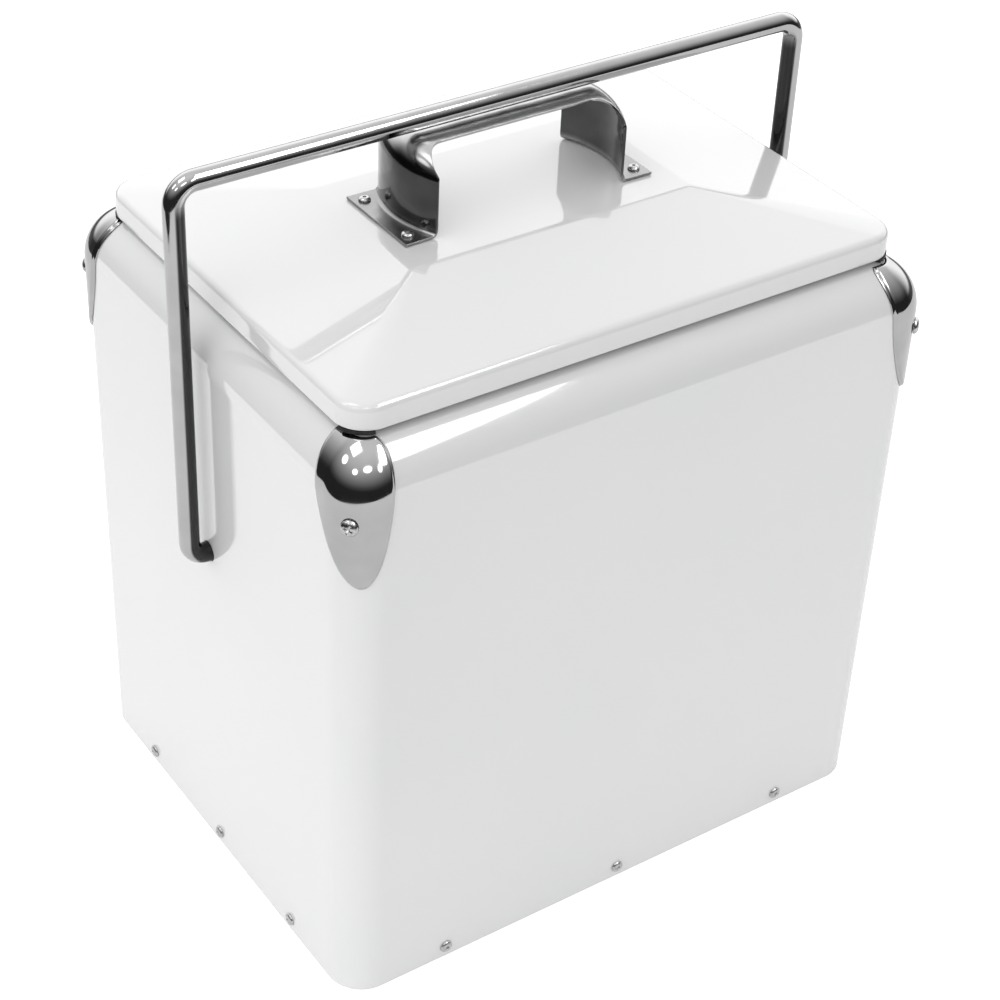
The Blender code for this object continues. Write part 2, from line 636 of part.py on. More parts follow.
# ------------------------------------------------------------------ assembly
def build():
    clear_scene()
    mats = {
        "enamel": material("white_enamel", (0.80, 0.81, 0.81), 0.12, 0.0),
        "chrome": material("chrome", (0.78, 0.78, 0.79), 0.06, 1.0),
        "stainless": material("polished_stainless", (0.66, 0.66, 0.66), 0.16, 1.0),
        "polished_steel": material("polished_steel", (0.70, 0.70, 0.71), 0.15, 1.0),
        "zinc": material("zinc_plate", (0.62, 0.64, 0.66), 0.35, 1.0),
        "liner": material("liner_plastic", (0.86, 0.87, 0.88), 0.30, 0.0),
        "rubber": material("black_rubber", (0.02, 0.02, 0.02), 0.60, 0.0),
        "nylon": material("nylon", (0.85, 0.84, 0.80), 0.45, 0.0),
        "foam": material("insulation_foam", (0.86, 0.80, 0.62), 0.90, 0.0),
    }
    cabinet = empty("cabinet", Vector((0, 0, 0)))
    lid = empty("lid", Vector((0, 0, LID_RIM_BOTTOM)))
    bail = empty("bail", Vector((0, 0, PIVOT_Z)))
    for maker in (make_outer_shell, make_base_pan, make_base_rivets, make_inner_liner,
                  make_cabinet_insulation, make_corner_caps, make_cap_screws):
        maker(mats, cabinet)
    make_pivots(mats, cabinet, bail)
    make_bail_handle(mats, bail)
    for maker in (make_lid_skin, make_lid_liner, make_lid_insulation, make_lid_gasket,
                  make_strap_handle, make_strap_fixings):
        maker(mats, lid)


build()
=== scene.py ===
"""Looks of the picnic icebox: fine meshes, procedural materials, studio light and camera."""
import json
from math import cos, pi, radians, sin, sqrt

import bmesh
import bpy
from mathutils import Matrix, Vector, noise


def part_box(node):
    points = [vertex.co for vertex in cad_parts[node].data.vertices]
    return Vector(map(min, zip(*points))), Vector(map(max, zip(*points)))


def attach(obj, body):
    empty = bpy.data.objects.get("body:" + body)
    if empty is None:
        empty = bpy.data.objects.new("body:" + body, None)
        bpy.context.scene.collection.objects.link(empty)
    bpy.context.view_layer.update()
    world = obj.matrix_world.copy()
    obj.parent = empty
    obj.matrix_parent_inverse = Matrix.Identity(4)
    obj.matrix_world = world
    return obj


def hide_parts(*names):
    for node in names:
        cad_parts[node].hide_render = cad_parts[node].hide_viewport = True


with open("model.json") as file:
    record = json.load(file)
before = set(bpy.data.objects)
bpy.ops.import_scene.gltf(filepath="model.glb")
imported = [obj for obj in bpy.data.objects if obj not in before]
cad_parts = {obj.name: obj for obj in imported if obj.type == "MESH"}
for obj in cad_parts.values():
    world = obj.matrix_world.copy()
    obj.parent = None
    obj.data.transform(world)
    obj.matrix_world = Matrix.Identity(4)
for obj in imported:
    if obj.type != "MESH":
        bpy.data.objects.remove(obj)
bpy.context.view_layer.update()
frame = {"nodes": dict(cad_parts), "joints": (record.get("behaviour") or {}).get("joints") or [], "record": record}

# ------------------------------------------------------------------ sizes, from the frame
SHELL_LOW, SHELL_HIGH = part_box("outer_shell")
HALF_X, HALF_Y, DECK_Z = SHELL_HIGH
SHELL_FOOT = SHELL_LOW.z
LID_LOW, LID_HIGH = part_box("lid_skin")
LID_X, LID_Y, PLATEAU_Z = LID_HIGH
RIM_Z = LID_LOW.z
STRAP_LOW, STRAP_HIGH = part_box("lid_strap_handle")
BAIL_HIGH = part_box("bail_handle")[1]
LINER_LOW, LINER_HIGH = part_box("inner_liner")
PLUG_LOW, PLUG_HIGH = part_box("lid_liner")
GASKET_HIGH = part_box("lid_gasket")[1]
PIVOT = Vector(next(joint["pos_m"] for joint in frame["joints"] if joint["name"] == "bail_swing"))

# ------------------------------------------------------------------ design values that boxes don't give
MM = 0.001
BODY_CORNER = 18 * MM
SHOULDER_RADIUS = 24 * MM
SHOULDER_START = DECK_Z - SHOULDER_RADIUS
SHELL_GAUGE = 1.0 * MM

LID_CORNER = 15 * MM
LID_RIM_TOP = RIM_Z + 8.3 * MM
LID_EDGE = 3.5 * MM
LID_GAUGE = 0.9 * MM
LID_EDGE_ANGLE = 81
PLATEAU_X, PLATEAU_Y = 75 * MM, 41.3 * MM
CREASE = 0.6 * MM                # how softly the sides bend into the raised centre

STRAP_GAUGE = 1.2 * MM
STRAP_FOOT_TOP = STRAP_LOW.z + STRAP_GAUGE
STRAP_FOOT = 9.4 * MM            # from the leg out to the tip
STRAP_FOOT_FLARE = 0.3 * MM
STRAP_CROWN = 48 * MM            # radius of its bulge from edge to edge
STRAP_REACH = 56.8 * MM
STRAP_OFFSET = -0.9 * MM         # the strap is fitted this far off the middle
STRAP_BEND = 12 * MM
STRAP_LEG_HALF = 24.5 * MM
STRAP_GRIP_HALF = 10 * MM
STRAP_GRIP_START = 40 * MM
STRAP_NARROWS = 2.5 * MM         # full width up to this far into the bend

ROD = BAIL_HIGH.y
ROD_REACH = BAIL_HIGH.x - ROD
ROD_TOP = BAIL_HIGH.z - ROD
ROD_TOP_BEND = 10 * MM
ROD_END_BEND = 8.5 * MM
ROD_END = 143.2 * MM

CAVITY_X, CAVITY_Y, CAVITY_CORNER = 128 * MM, 97 * MM, 16 * MM
CAVITY_DRAFT = 3 * MM
LINER_GAUGE = 1.6 * MM

CAP_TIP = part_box("corner_cap_front_left")[0].z
CAP_LENGTH = 70.2 * MM
CAP_HALF_WIDTH = 19.9 * MM
CAP_WIDEST = 46 * MM             # from the tip, along the cap
CAP_TOP_LENGTH = 27.8 * MM       # of the ellipse above the widest place
CAP_RISE = 1.5 * MM
CAP_SCREW_Z = 273 * MM
CAP_LIP = 0.9 * MM

# How each cap was fitted: its turn in degrees, and how far it and its screw are off the corner's middle.
CAP_TILT = {"front_left": 7.5, "front_right": 2.0, "back_left": -3.0, "back_right": 1.5}
CAP_SHIFT = {"front_left": -0.6 * MM, "front_right": -0.5 * MM,
             "back_left": 0.4 * MM, "back_right": 0.3 * MM}
SCREW_SHIFT = {"front_left": -1.2 * MM, "front_right": -0.5 * MM,
               "back_left": 0.4 * MM, "back_right": 0.3 * MM}

PAD_Z = RIM_Z - 2.1 * MM         # underside of the gasket's corner pads

CORNERS = {"front_left": (-1, -1), "front_right": (1, -1), "back_left": (-1, 1), "back_right": (1, 1)}


# ------------------------------------------------------------------ camera and studio
CAMERA_PLACE = (-0.5423, -0.7675, 0.8419)
CAMERA_ANGLES = (-35.586, 36.159, 2.764)    # azimuth, elevation and roll in degrees
CAMERA_LENS = 84.75

# Where the backdrop stands, and how much of that direction it takes to be at its edge and well inside it.
BACKDROP_SIDE, BACKDROP_EDGE = (0.58, 0.81, 0), (0.12, 0.72)

# Brightness of the world by height, from straight down (0) over the horizon (0.5) to straight up (1):
# the room in front and the backdrop behind as reflections see them, and the sky that diffuse light sees.
ROOM = ((0.0, 0.03), (0.54, 0.03), (0.60, 0.10), (0.68, 0.27), (0.78, 0.52), (0.88, 0.85), (1.0, 1.1))
BACKDROP = ((0.0, 0.12), (0.5, 0.15), (0.55, 1.7), (0.8, 1.85), (0.86, 1.3), (1.0, 1.1))
AMBIENT = ((0.0, 0.2), (0.5, 0.48), (0.75, 0.76), (1.0, 1.0))
LEFT_LIFT = 0.5                  # how much brighter that sky is towards -X

# Centre, half sizes and corner radius.
TABLE = ((0.52, 0.2), (1.3, 1.4), 1.0)
FLOOR = ((0, 0), (30, 30), 1.0)
TABLE_GLOW, SEEN_GLOW = 0.17, 0.6    # of the table in reflections, and of both where the camera looks
LIGHT_DISTANCE = 2.4

# Name, direction, size, radiance and for the highlights the direction of the panel's second side.
HIGHLIGHTS = (
    ("window", (0.32, -0.48, 0.78), (0.62, 1.45), 7.0, (0, 1, 0)),
    ("overhead", (-0.38, 0.10, 0.92), (0.9, 0.8), 3.0, (0, 0, 1)),
    ("lamp_left", (-0.72, 0.18, 0.66), (0.6, 0.6), 3.0, (0, 0, 1)),
    ("lamp_left_front", (-0.70, -0.38, 0.60), (0.5, 0.42), 3.0, (0, 0, 1)),
    ("lamp_front_left", (-0.32, -0.64, 0.69), (0.8, 0.5), 3.0, (0, 0, 1)),
    ("lamp_front", (0.13, -0.77, 0.62), (0.45, 0.6), 3.0, (0, 0, 1)),
)
FILLS = (
    ("fill_left", (-0.85, -0.25, 0.45), (3.2, 2.4), 0.35),
    ("fill_front", (-0.15, -0.93, 0.35), (3.0, 1.6), 0.25),
)


def set_camera():
    """Long lens looking down on the front left corner."""
    azimuth, elevation, roll = (radians(angle) for angle in CAMERA_ANGLES)
    back = Vector((sin(azimuth) * cos(elevation), -cos(azimuth) * cos(elevation), sin(elevation)))
    right = Vector((cos(azimuth), sin(azimuth), 0))
    up = back.cross(right)
    rolled_right = cos(roll) * right + sin(roll) * up
    rolled_up = -sin(roll) * right + cos(roll) * up
    data = bpy.data.cameras.new("camera")
    data.lens, data.sensor_width = CAMERA_LENS, 36.0
    camera = bpy.data.objects.new("camera", data)
    turn = Matrix((rolled_right, rolled_up, back)).transposed().to_4x4()
    camera.matrix_world = Matrix.Translation(CAMERA_PLACE) @ turn
    bpy.context.scene.collection.objects.link(camera)
    bpy.context.scene.camera = camera


def softbox(name, direction, size, radiance, upward=(0, 0, 1)):
    """Light panel that faces the object from a direction: a lamp is round, any other is rectangular."""
    data = bpy.data.lights.new(name, "AREA")
    data.shape, share = ("ELLIPSE", pi / 4) if name.startswith("lamp") else ("RECTANGLE", 1)
    data.size, data.size_y = size
    data.energy = radiance * pi * share * size[0] * size[1]
    light = bpy.data.objects.new(name, data)
    away = Vector(direction).normalized()
    across = Vector(upward).cross(away).normalized()
    turn = Matrix((across, away.cross(across), away)).transposed().to_4x4()
    light.matrix_world = Matrix.Translation(Vector((0, 0, DECK_Z * 0.8)) + away * LIGHT_DISTANCE) @ turn
    light.visible_camera = False
    bpy.context.scene.collection.objects.link(light)
    return light


def height_ramp(tree, value, stops):
    """Grey by a value from 0 to 1. The stops list (place, grey)."""
    ramp = tree.nodes.new("ShaderNodeValToRGB")
    while len(ramp.color_ramp.elements) < len(stops):
        ramp.color_ramp.elements.new(0.5)
    for element, (place, grey) in zip(ramp.color_ramp.elements, stops):
        element.position = place
        element.color = (grey, grey, grey, 1)
    tree.links.new(value, ramp.inputs[0])
    return ramp.outputs[0]


def smooth_range(tree, value, first, last):
    """Zero at the first value, one at the last, smooth between."""
    remap = tree.nodes.new("ShaderNodeMapRange")
    remap.interpolation_type = "SMOOTHSTEP"
    remap.inputs["From Min"].default_value, remap.inputs["From Max"].default_value = first, last
    tree.links.new(value, remap.inputs["Value"])
    return remap.outputs[0]


def maths(tree, operation, *values):
    """Result of a sum on values that are each a socket or a number."""
    node = tree.nodes.new("ShaderNodeMath")
    node.operation = operation
    for socket, value in zip(node.inputs, values):
        if isinstance(value, (int, float)):
            socket.default_value = value
        else:
            tree.links.new(value, socket)
    return node.outputs[0]


def mixed(tree, share, first, second):
    """Colour between two, by a share from 0 to 1."""
    mix = tree.nodes.new("ShaderNodeMix")
    mix.data_type = "RGBA"
    tree.links.new(share, mix.inputs["Factor"])
    for name, value in (("A", first), ("B", second)):
        if isinstance(value, tuple):
            mix.inputs[name].default_value = value
        else:
            tree.links.new(value, mix.inputs[name])
    return mix.outputs["Result"]


def set_world():
    """Reflections see a pale backdrop behind and a dim room in front, diffuse surfaces an even soft sky.

    The camera sees it pale all round.
    """
    world = bpy.data.worlds.new("studio")
    bpy.context.scene.world = world
    world.use_nodes = True
    tree = world.node_tree
    tree.nodes.clear()
    coords, split = tree.nodes.new("ShaderNodeTexCoord"), tree.nodes.new("ShaderNodeSeparateXYZ")
    height, behind = tree.nodes.new("ShaderNodeMapRange"), tree.nodes.new("ShaderNodeVectorMath")
    height.inputs["From Min"].default_value = -1.0
    behind.operation = "DOT_PRODUCT"
    behind.inputs[1].default_value = BACKDROP_SIDE
    tree.links.new(coords.outputs["Generated"], split.inputs[0])
    tree.links.new(coords.outputs["Generated"], behind.inputs[0])
    tree.links.new(split.outputs["Z"], height.inputs["Value"])
    path = tree.nodes.new("ShaderNodeLightPath")
    diffuse = path.outputs["Is Diffuse Ray"]
    room, backdrop, sky = (height_ramp(tree, height.outputs[0], stops)
                           for stops in (ROOM, BACKDROP, AMBIENT))
    reflected = mixed(tree, smooth_range(tree, behind.outputs["Value"], *BACKDROP_EDGE), room, backdrop)
    lean = maths(tree, "MULTIPLY", maths(tree, "MULTIPLY", split.outputs["X"], diffuse), LEFT_LIFT)
    unseen, pale = tree.nodes.new("ShaderNodeBackground"), tree.nodes.new("ShaderNodeBackground")
    tree.links.new(mixed(tree, diffuse, reflected, sky), unseen.inputs["Color"])
    tree.links.new(maths(tree, "SUBTRACT", 1.0, lean), unseen.inputs["Strength"])
    pale.inputs["Color"].default_value = (1, 1, 1, 1)
    choose, output = tree.nodes.new("ShaderNodeMixShader"), tree.nodes.new("ShaderNodeOutputWorld")
    tree.links.new(path.outputs["Is Camera Ray"], choose.inputs[0])
    tree.links.new(unseen.outputs[0], choose.inputs[1])
    tree.links.new(pale.outputs[0], choose.inputs[2])
    tree.links.new(choose.outputs[0], output.inputs[0])


def ground(name, place, z, mat):
    """Flat sheet with rounded corners, from its centre, half sizes and corner radius."""
    centre, half, radius = place
    bm = bmesh.new()
    bm.faces.new([bm.verts.new(point + Vector((*centre, 0))) for point in rounded_rect(*half, radius, z)])
    mesh = bpy.data.meshes.new(name)
    bm.to_mesh(mesh)
    bm.free()
    mesh.materials.append(mat)
    item = bpy.data.objects.new(name, mesh)
    bpy.context.scene.collection.objects.link(item)
    return item


def glowing_white(name, glow, seen_glow):
    """White that glows a little, and more where the camera looks straight at it."""
    mat = bpy.data.materials.new(name)
    mat.use_nodes = True
    tree = mat.node_tree
    shader = tree.nodes["Principled BSDF"]
    path, remap = tree.nodes.new("ShaderNodeLightPath"), tree.nodes.new("ShaderNodeMapRange")
    remap.inputs["To Min"].default_value, remap.inputs["To Max"].default_value = glow, seen_glow
    tree.links.new(path.outputs["Is Camera Ray"], remap.inputs["Value"])
    tree.links.new(remap.outputs[0], shader.inputs["Emission Strength"])
    shader.inputs["Base Color"].default_value = (0.85, 0.85, 0.85, 1)
    shader.inputs["Roughness"].default_value = 0.9
    shader.inputs["Specular IOR Level"].default_value = 0.0
    shader.inputs["Emission Color"].default_value = (1, 1, 1, 1)
    return mat


def set_studio():
    """White table with a pale floor round it that only the camera sees, and the lights."""
    ground("table", TABLE, -0.0002, glowing_white("table_white", TABLE_GLOW, SEEN_GLOW))
    floor = ground("floor", FLOOR, -0.0006, glowing_white("floor_white", SEEN_GLOW, SEEN_GLOW))
    floor.visible_glossy = floor.visible_diffuse = False
    for name, direction, size, radiance, upward in HIGHLIGHTS:
        softbox(name, direction, size, radiance, upward).visible_diffuse = False
    for name, direction, size, radiance in FILLS:
        softbox(name, direction, size, radiance).visible_glossy = False
    set_world()
    bpy.context.scene.view_settings.view_transform = "Standard"


# ------------------------------------------------------------------ materials
# Painted dark reflection on the inner sides of the bail's legs: its colour, how it leans, its edge and where it
# fades in down the legs.
PAINTED_REFLECTION_DARK = (0.05, 0.05, 0.05, 1)
SHADE_TO_THE_LEFT = 0.3          # widens the left leg's shade and narrows the right leg's
SHADE_EDGE = (0.13, -0.07)       # where the shade starts and is full, as the normal's outward share
SHADE_FADE = (ROD_TOP - 2 * MM, ROD_TOP - 14 * MM)

# The strap's tone and roughness by height, from its feet (0) to the top of the grip (1). The tone is painted
# reflection: dark legs, lighter feet and grip top.
STRAP_PAINTED_TONE = ((0.06, 0.30), (0.12, 0.13), (0.80, 0.10), (0.94, 0.5))
STRAP_HAZE = ((0.06, 0.26), (0.12, 0.13), (0.80, 0.13), (0.94, 0.24))


def shader_tree(name, roughness, metallic=0.0, coat=0.0, coat_roughness=0.03):
    """New material with its node tree and main shader."""
    mat = bpy.data.materials.new(name)
    mat.use_nodes = True
    tree = mat.node_tree
    shader = tree.nodes["Principled BSDF"]
    shader.inputs["Roughness"].default_value = roughness
    shader.inputs["Metallic"].default_value = metallic
    shader.inputs["Coat Weight"].default_value = coat
    shader.inputs["Coat Roughness"].default_value = coat_roughness
    return mat, tree, shader


def noise_value(tree, scale, detail=2.0, stretch=(1, 1, 1)):
    """Noise in the piece's own metres. Stretch multiplies the frequency along each axis."""
    coords = tree.nodes.new("ShaderNodeTexCoord")
    mapping = tree.nodes.new("ShaderNodeMapping")
    mapping.inputs["Scale"].default_value = stretch
    texture = tree.nodes.new("ShaderNodeTexNoise")
    texture.inputs["Scale"].default_value = scale
    texture.inputs["Detail"].default_value = detail
    tree.links.new(coords.outputs["Object"], mapping.inputs["Vector"])
    tree.links.new(mapping.outputs[0], texture.inputs["Vector"])
    return texture.outputs["Fac"]


def colour_from(tree, value, socket, low, high, start=0.35, end=0.65):
    """Drive a colour by a value, from low at its start to high at its end. Returns the mixed colour."""
    ramp = tree.nodes.new("ShaderNodeValToRGB")
    ramp.color_ramp.elements[0].position = start
    ramp.color_ramp.elements[1].position = end
    ramp.color_ramp.elements[0].color = (*low, 1)
    ramp.color_ramp.elements[1].color = (*high, 1)
    tree.links.new(value, ramp.inputs[0])
    tree.links.new(ramp.outputs[0], socket)
    return ramp.outputs[0]


def range_from(tree, value, socket, low, high, start=0.35, end=0.65):
    """Drive a number by a value, from low at its start to high at its end."""
    remap = tree.nodes.new("ShaderNodeMapRange")
    remap.inputs["From Min"].default_value = start
    remap.inputs["From Max"].default_value = end
    remap.inputs["To Min"].default_value = low
    remap.inputs["To Max"].default_value = high
    tree.links.new(value, remap.inputs["Value"])
    tree.links.new(remap.outputs[0], socket)


def bump_chain(tree, shader, layers):
    """Stack of bumps, each (height value, depth in metres)."""
    previous = None
    for value, depth in layers:
        bump = tree.nodes.new("ShaderNodeBump")
        bump.inputs["Strength"].default_value = 1.0
        bump.inputs["Distance"].default_value = depth
        tree.links.new(value, bump.inputs["Height"])
        if previous:
            tree.links.new(previous, bump.inputs["Normal"])
        previous = bump.outputs[0]
    tree.links.new(previous, shader.inputs["Normal"])


def enamel():
    """Glossy white stove enamel with a fine orange peel and the panel's slow waves."""
    mat, tree, shader = shader_tree("white_enamel", 0.10, coat=1.0, coat_roughness=0.02)
    colour_from(tree, noise_value(tree, 9), shader.inputs["Base Color"],
                (0.775, 0.78, 0.78), (0.79, 0.79, 0.79))
    range_from(tree, noise_value(tree, 35, 4), shader.inputs["Roughness"], 0.07, 0.14)
    bump_chain(tree, shader, ((noise_value(tree, 16, 1), 0.00010), (noise_value(tree, 700), 0.0000025)))
    return mat


def chrome(name, grey, shade=None):
    """Bright plate with hairline scratches and a breath of haze, with a painted dark reflection where a mask says
    so.
    """
    mat, tree, shader = shader_tree(name, 0.05, metallic=1.0)
    colour = shader.inputs["Base Color"]
    plain = colour_from(tree, noise_value(tree, 60), colour, (grey - 0.02, grey - 0.02, grey - 0.015),
                        (grey + 0.02, grey + 0.02, grey + 0.02))
    if shade:
        tree.links.new(mixed(tree, shade(tree), plain, PAINTED_REFLECTION_DARK), colour)
    range_from(tree, noise_value(tree, 90, 5), shader.inputs["Roughness"], 0.04, 0.12)
    bump_chain(tree, shader, ((noise_value(tree, 55, 1), 0.00006),
                              (noise_value(tree, 1400, 3, (1, 1, 0.12)), 0.0000015)))
    return mat


def painted_inner_reflection(tree):
    """Mask of a painted dark reflection: one on the sides of the bail's legs that face the cabinet, wider on the
    left leg, zero elsewhere.
    """
    coords = tree.nodes.new("ShaderNodeTexCoord")
    place, facing = tree.nodes.new("ShaderNodeSeparateXYZ"), tree.nodes.new("ShaderNodeSeparateXYZ")
    tree.links.new(coords.outputs["Object"], place.inputs[0])
    tree.links.new(coords.outputs["Normal"], facing.inputs[0])
    side = maths(tree, "SIGN", place.outputs["X"])
    outward = maths(tree, "MULTIPLY", maths(tree, "ADD", facing.outputs["X"], SHADE_TO_THE_LEFT), side)
    inner = smooth_range(tree, outward, *SHADE_EDGE)
    legs = smooth_range(tree, place.outputs["Z"], *SHADE_FADE)
    return maths(tree, "MULTIPLY", inner, legs)


def stainless():
    """Polished sheet: fine lines along the strap, slow waves from bending, and a tone painted by height, its dark
    legs a painted reflection.
    """
    mat, tree, shader = shader_tree("polished_stainless", 0.12, metallic=1.0)
    coords, split = tree.nodes.new("ShaderNodeTexCoord"), tree.nodes.new("ShaderNodeSeparateXYZ")
    tree.links.new(coords.outputs["Object"], split.inputs[0])
    height = tree.nodes.new("ShaderNodeMapRange")
    height.inputs["From Min"].default_value = STRAP_LOW.z
    height.inputs["From Max"].default_value = STRAP_HIGH.z
    tree.links.new(split.outputs["Z"], height.inputs["Value"])
    lines = noise_value(tree, 90, 3, (0.3, 16, 0.3))
    uneven, painted_tone_blotched = tree.nodes.new("ShaderNodeMapRange"), tree.nodes.new("ShaderNodeMix")
    uneven.inputs["To Min"].default_value, uneven.inputs["To Max"].default_value = 0.7, 1.25
    tree.links.new(noise_value(tree, 70, 3), uneven.inputs["Value"])
    painted_tone_blotched.data_type, painted_tone_blotched.blend_type = "RGBA", "MULTIPLY"
    painted_tone_blotched.inputs["Factor"].default_value = 1.0
    # Painted reflection tone by height, made uneven by random blotches.
    tree.links.new(height_ramp(tree, height.outputs[0], STRAP_PAINTED_TONE), painted_tone_blotched.inputs["A"])
    tree.links.new(uneven.outputs[0], painted_tone_blotched.inputs["B"])
    tree.links.new(painted_tone_blotched.outputs["Result"], shader.inputs["Base Color"])
    tree.links.new(height_ramp(tree, height.outputs[0], STRAP_HAZE), shader.inputs["Roughness"])
    bump_chain(tree, shader, ((noise_value(tree, 45, 2), 0.0006), (lines, 0.000006)))
    return mat


def fixing_steel():
    """Bright, slightly worn steel of the rivets and screws."""
    mat, tree, shader = shader_tree("fixing_steel", 0.2, metallic=1.0)
    colour_from(tree, noise_value(tree, 900, 3), shader.inputs["Base Color"],
                (0.46, 0.46, 0.46), (0.60, 0.60, 0.60))
    range_from(tree, noise_value(tree, 1500), shader.inputs["Roughness"], 0.14, 0.30)
    bump_chain(tree, shader, ((noise_value(tree, 1200, 3), 0.00001),))
    return mat


def zinc():
    """Dull spangled zinc plate of the hidden fixings."""
    mat, tree, shader = shader_tree("zinc_plate", 0.35, metallic=1.0)
    cells = tree.nodes.new("ShaderNodeTexVoronoi")
    cells.inputs["Scale"].default_value = 220
    coords = tree.nodes.new("ShaderNodeTexCoord")
    tree.links.new(coords.outputs["Object"], cells.inputs["Vector"])
    colour_from(tree, cells.outputs["Distance"], shader.inputs["Base Color"],
                (0.50, 0.52, 0.54), (0.64, 0.66, 0.68), 0.1, 0.8)
    range_from(tree, noise_value(tree, 400), shader.inputs["Roughness"], 0.28, 0.45)
    bump_chain(tree, shader, ((noise_value(tree, 800), 0.00001),))
    return mat


def liner_plastic():
    mat, tree, shader = shader_tree("liner_plastic", 0.3)
    colour_from(tree, noise_value(tree, 20, 4), shader.inputs["Base Color"],
                (0.80, 0.81, 0.82), (0.84, 0.85, 0.86))
    range_from(tree, noise_value(tree, 120), shader.inputs["Roughness"], 0.24, 0.36)
    bump_chain(tree, shader, ((noise_value(tree, 1800), 0.000015),))
    return mat


def rubber():
    mat, tree, shader = shader_tree("gasket_rubber", 0.6)
    colour_from(tree, noise_value(tree, 300, 4), shader.inputs["Base Color"],
                (0.008, 0.008, 0.008), (0.022, 0.022, 0.022))
    range_from(tree, noise_value(tree, 500), shader.inputs["Roughness"], 0.5, 0.7)
    bump_chain(tree, shader, ((noise_value(tree, 2200), 0.00003),))
    return mat


def nylon():
    mat, tree, shader = shader_tree("nylon", 0.45)
    colour_from(tree, noise_value(tree, 200), shader.inputs["Base Color"],
                (0.78, 0.76, 0.70), (0.84, 0.82, 0.77))
    bump_chain(tree, shader, ((noise_value(tree, 1500), 0.00001),))
    return mat


def foam():
    """Rigid foam: small closed cells, yellowed in patches."""
    mat, tree, shader = shader_tree("insulation_foam", 0.9)
    colour_from(tree, noise_value(tree, 30, 5), shader.inputs["Base Color"],
                (0.72, 0.64, 0.44), (0.84, 0.78, 0.60))
    cells = tree.nodes.new("ShaderNodeTexVoronoi")
    cells.inputs["Scale"].default_value = 900
    coords = tree.nodes.new("ShaderNodeTexCoord")
    tree.links.new(coords.outputs["Object"], cells.inputs["Vector"])
    bump_chain(tree, shader, ((cells.outputs["Distance"], 0.0004),))
    return mat


MATERIALS = {
    "white_enamel": enamel(),
    "chrome": chrome("chrome", 0.46),
    "polished_stainless": stainless(),
    # The bail's chrome, with a painted dark reflection on its legs' inner sides.
    "drawn_chrome": chrome("drawn_chrome", 0.48, painted_inner_reflection),
    "fixing_steel": fixing_steel(),
    "zinc_plate": zinc(),
    "liner_plastic": liner_plastic(),
    "gasket_rubber": rubber(),
    "nylon": nylon(),
    "insulation_foam": foam(),
}


# ------------------------------------------------------------------ mesh helpers
def piece(name, mesh, body, slot, replaced, finish=None):
    """Object for a finished mesh, riding on a body in place of CAD nodes."""
    item = bpy.data.objects.new(name, mesh)
    mesh.materials.append(MATERIALS[finish or slot])
    bpy.context.scene.collection.objects.link(item)
    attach(item, body)
    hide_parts(*replaced)
    return item


def to_mesh(bm, name, sharp=35):
    """Finished mesh, shaded smooth but for edges sharper than an angle in degrees."""
    bmesh.ops.recalc_face_normals(bm, faces=bm.faces)
    mesh = bpy.data.meshes.new(name)
    bm.to_mesh(mesh)
    bm.free()
    mesh.shade_smooth()
    mesh.set_sharp_from_angle(angle=radians(sharp))
    return mesh


def rounded_rect(half_x, half_y, radius, z, corner_steps=14, side_steps=10):
    """Ring round a rectangle with rounded corners, its sides cut into equal steps."""
    def corner_point(quarter, share):
        side_x, side_y = ((1, 1), (-1, 1), (-1, -1), (1, -1))[quarter % 4]
        angle = pi / 2 * (quarter + share)
        return Vector((side_x * (half_x - radius) + radius * cos(angle),
                       side_y * (half_y - radius) + radius * sin(angle), z))

    ring = []
    for quarter in range(4):
        ring += [corner_point(quarter, step / corner_steps) for step in range(corner_steps + 1)]
        ring += straight(ring[-1], corner_point(quarter + 1, 0), side_steps)
    return ring


def straight(start, end, steps):
    """Points that cut a straight stretch into equal steps, without its ends."""
    return [start.lerp(end, step / steps) for step in range(1, steps)]


def skin_rings(bm, rings, looped=False, capped=True):
    """Faces over a stack of rings, its ends capped, or joined when looped."""
    loops = [[bm.verts.new(point) for point in ring] for ring in rings]
    pairs = list(zip(loops, loops[1:]))
    if looped:
        pairs.append((loops[-1], loops[0]))
    for low, high in pairs:
        for i in range(len(low)):
            j = (i + 1) % len(low)
            bm.faces.new((low[i], low[j], high[j], high[i]))
    if capped and not looped:
        bm.faces.new(loops[0])
        bm.faces.new(reversed(loops[-1]))


def skin_grid(bm, grid):
    """Faces over rows of vertices."""
    for low, high in zip(grid, grid[1:]):
        for i in range(len(low) - 1):
            bm.faces.new((low[i], low[i + 1], high[i + 1], high[i]))


def grid_edge(grid):
    """Vertices round a grid's edge, in order."""
    return grid[0] + [row[-1] for row in grid[1:]] + grid[-1][-2::-1] + [row[0] for row in grid[-2:0:-1]]


def ring_mesh(name, rings, looped=False, sharp=35):
    """Mesh over a stack of rings."""
    bm = bmesh.new()
    skin_rings(bm, rings, looped)
    return to_mesh(bm, name, sharp)


def turned(name, profile, origin, axis, sides=32):
    """Solid of revolution. The profile lists (radius, distance along the axis)."""
    turn = Vector((0, 0, 1)).rotation_difference(axis).to_matrix().to_4x4()
    place = Matrix.Translation(origin) @ turn
    rings = [[place @ Vector((radius * cos(2 * pi * k / sides), radius * sin(2 * pi * k / sides), along))
              for k in range(sides)] for radius, along in profile]
    return ring_mesh(name, rings, sharp=50)


def round_cutter(name, centre, axis, radius, length):
    """Cylinder that stands on both sides of its centre along an axis."""
    bm = bmesh.new()
    turn = Vector((0, 0, 1)).rotation_difference(axis).to_matrix().to_4x4()
    bmesh.ops.create_cone(bm, cap_ends=True, segments=48, radius1=radius, radius2=radius,
                          depth=length, matrix=Matrix.Translation(centre) @ turn)
    return to_mesh(bm, name)


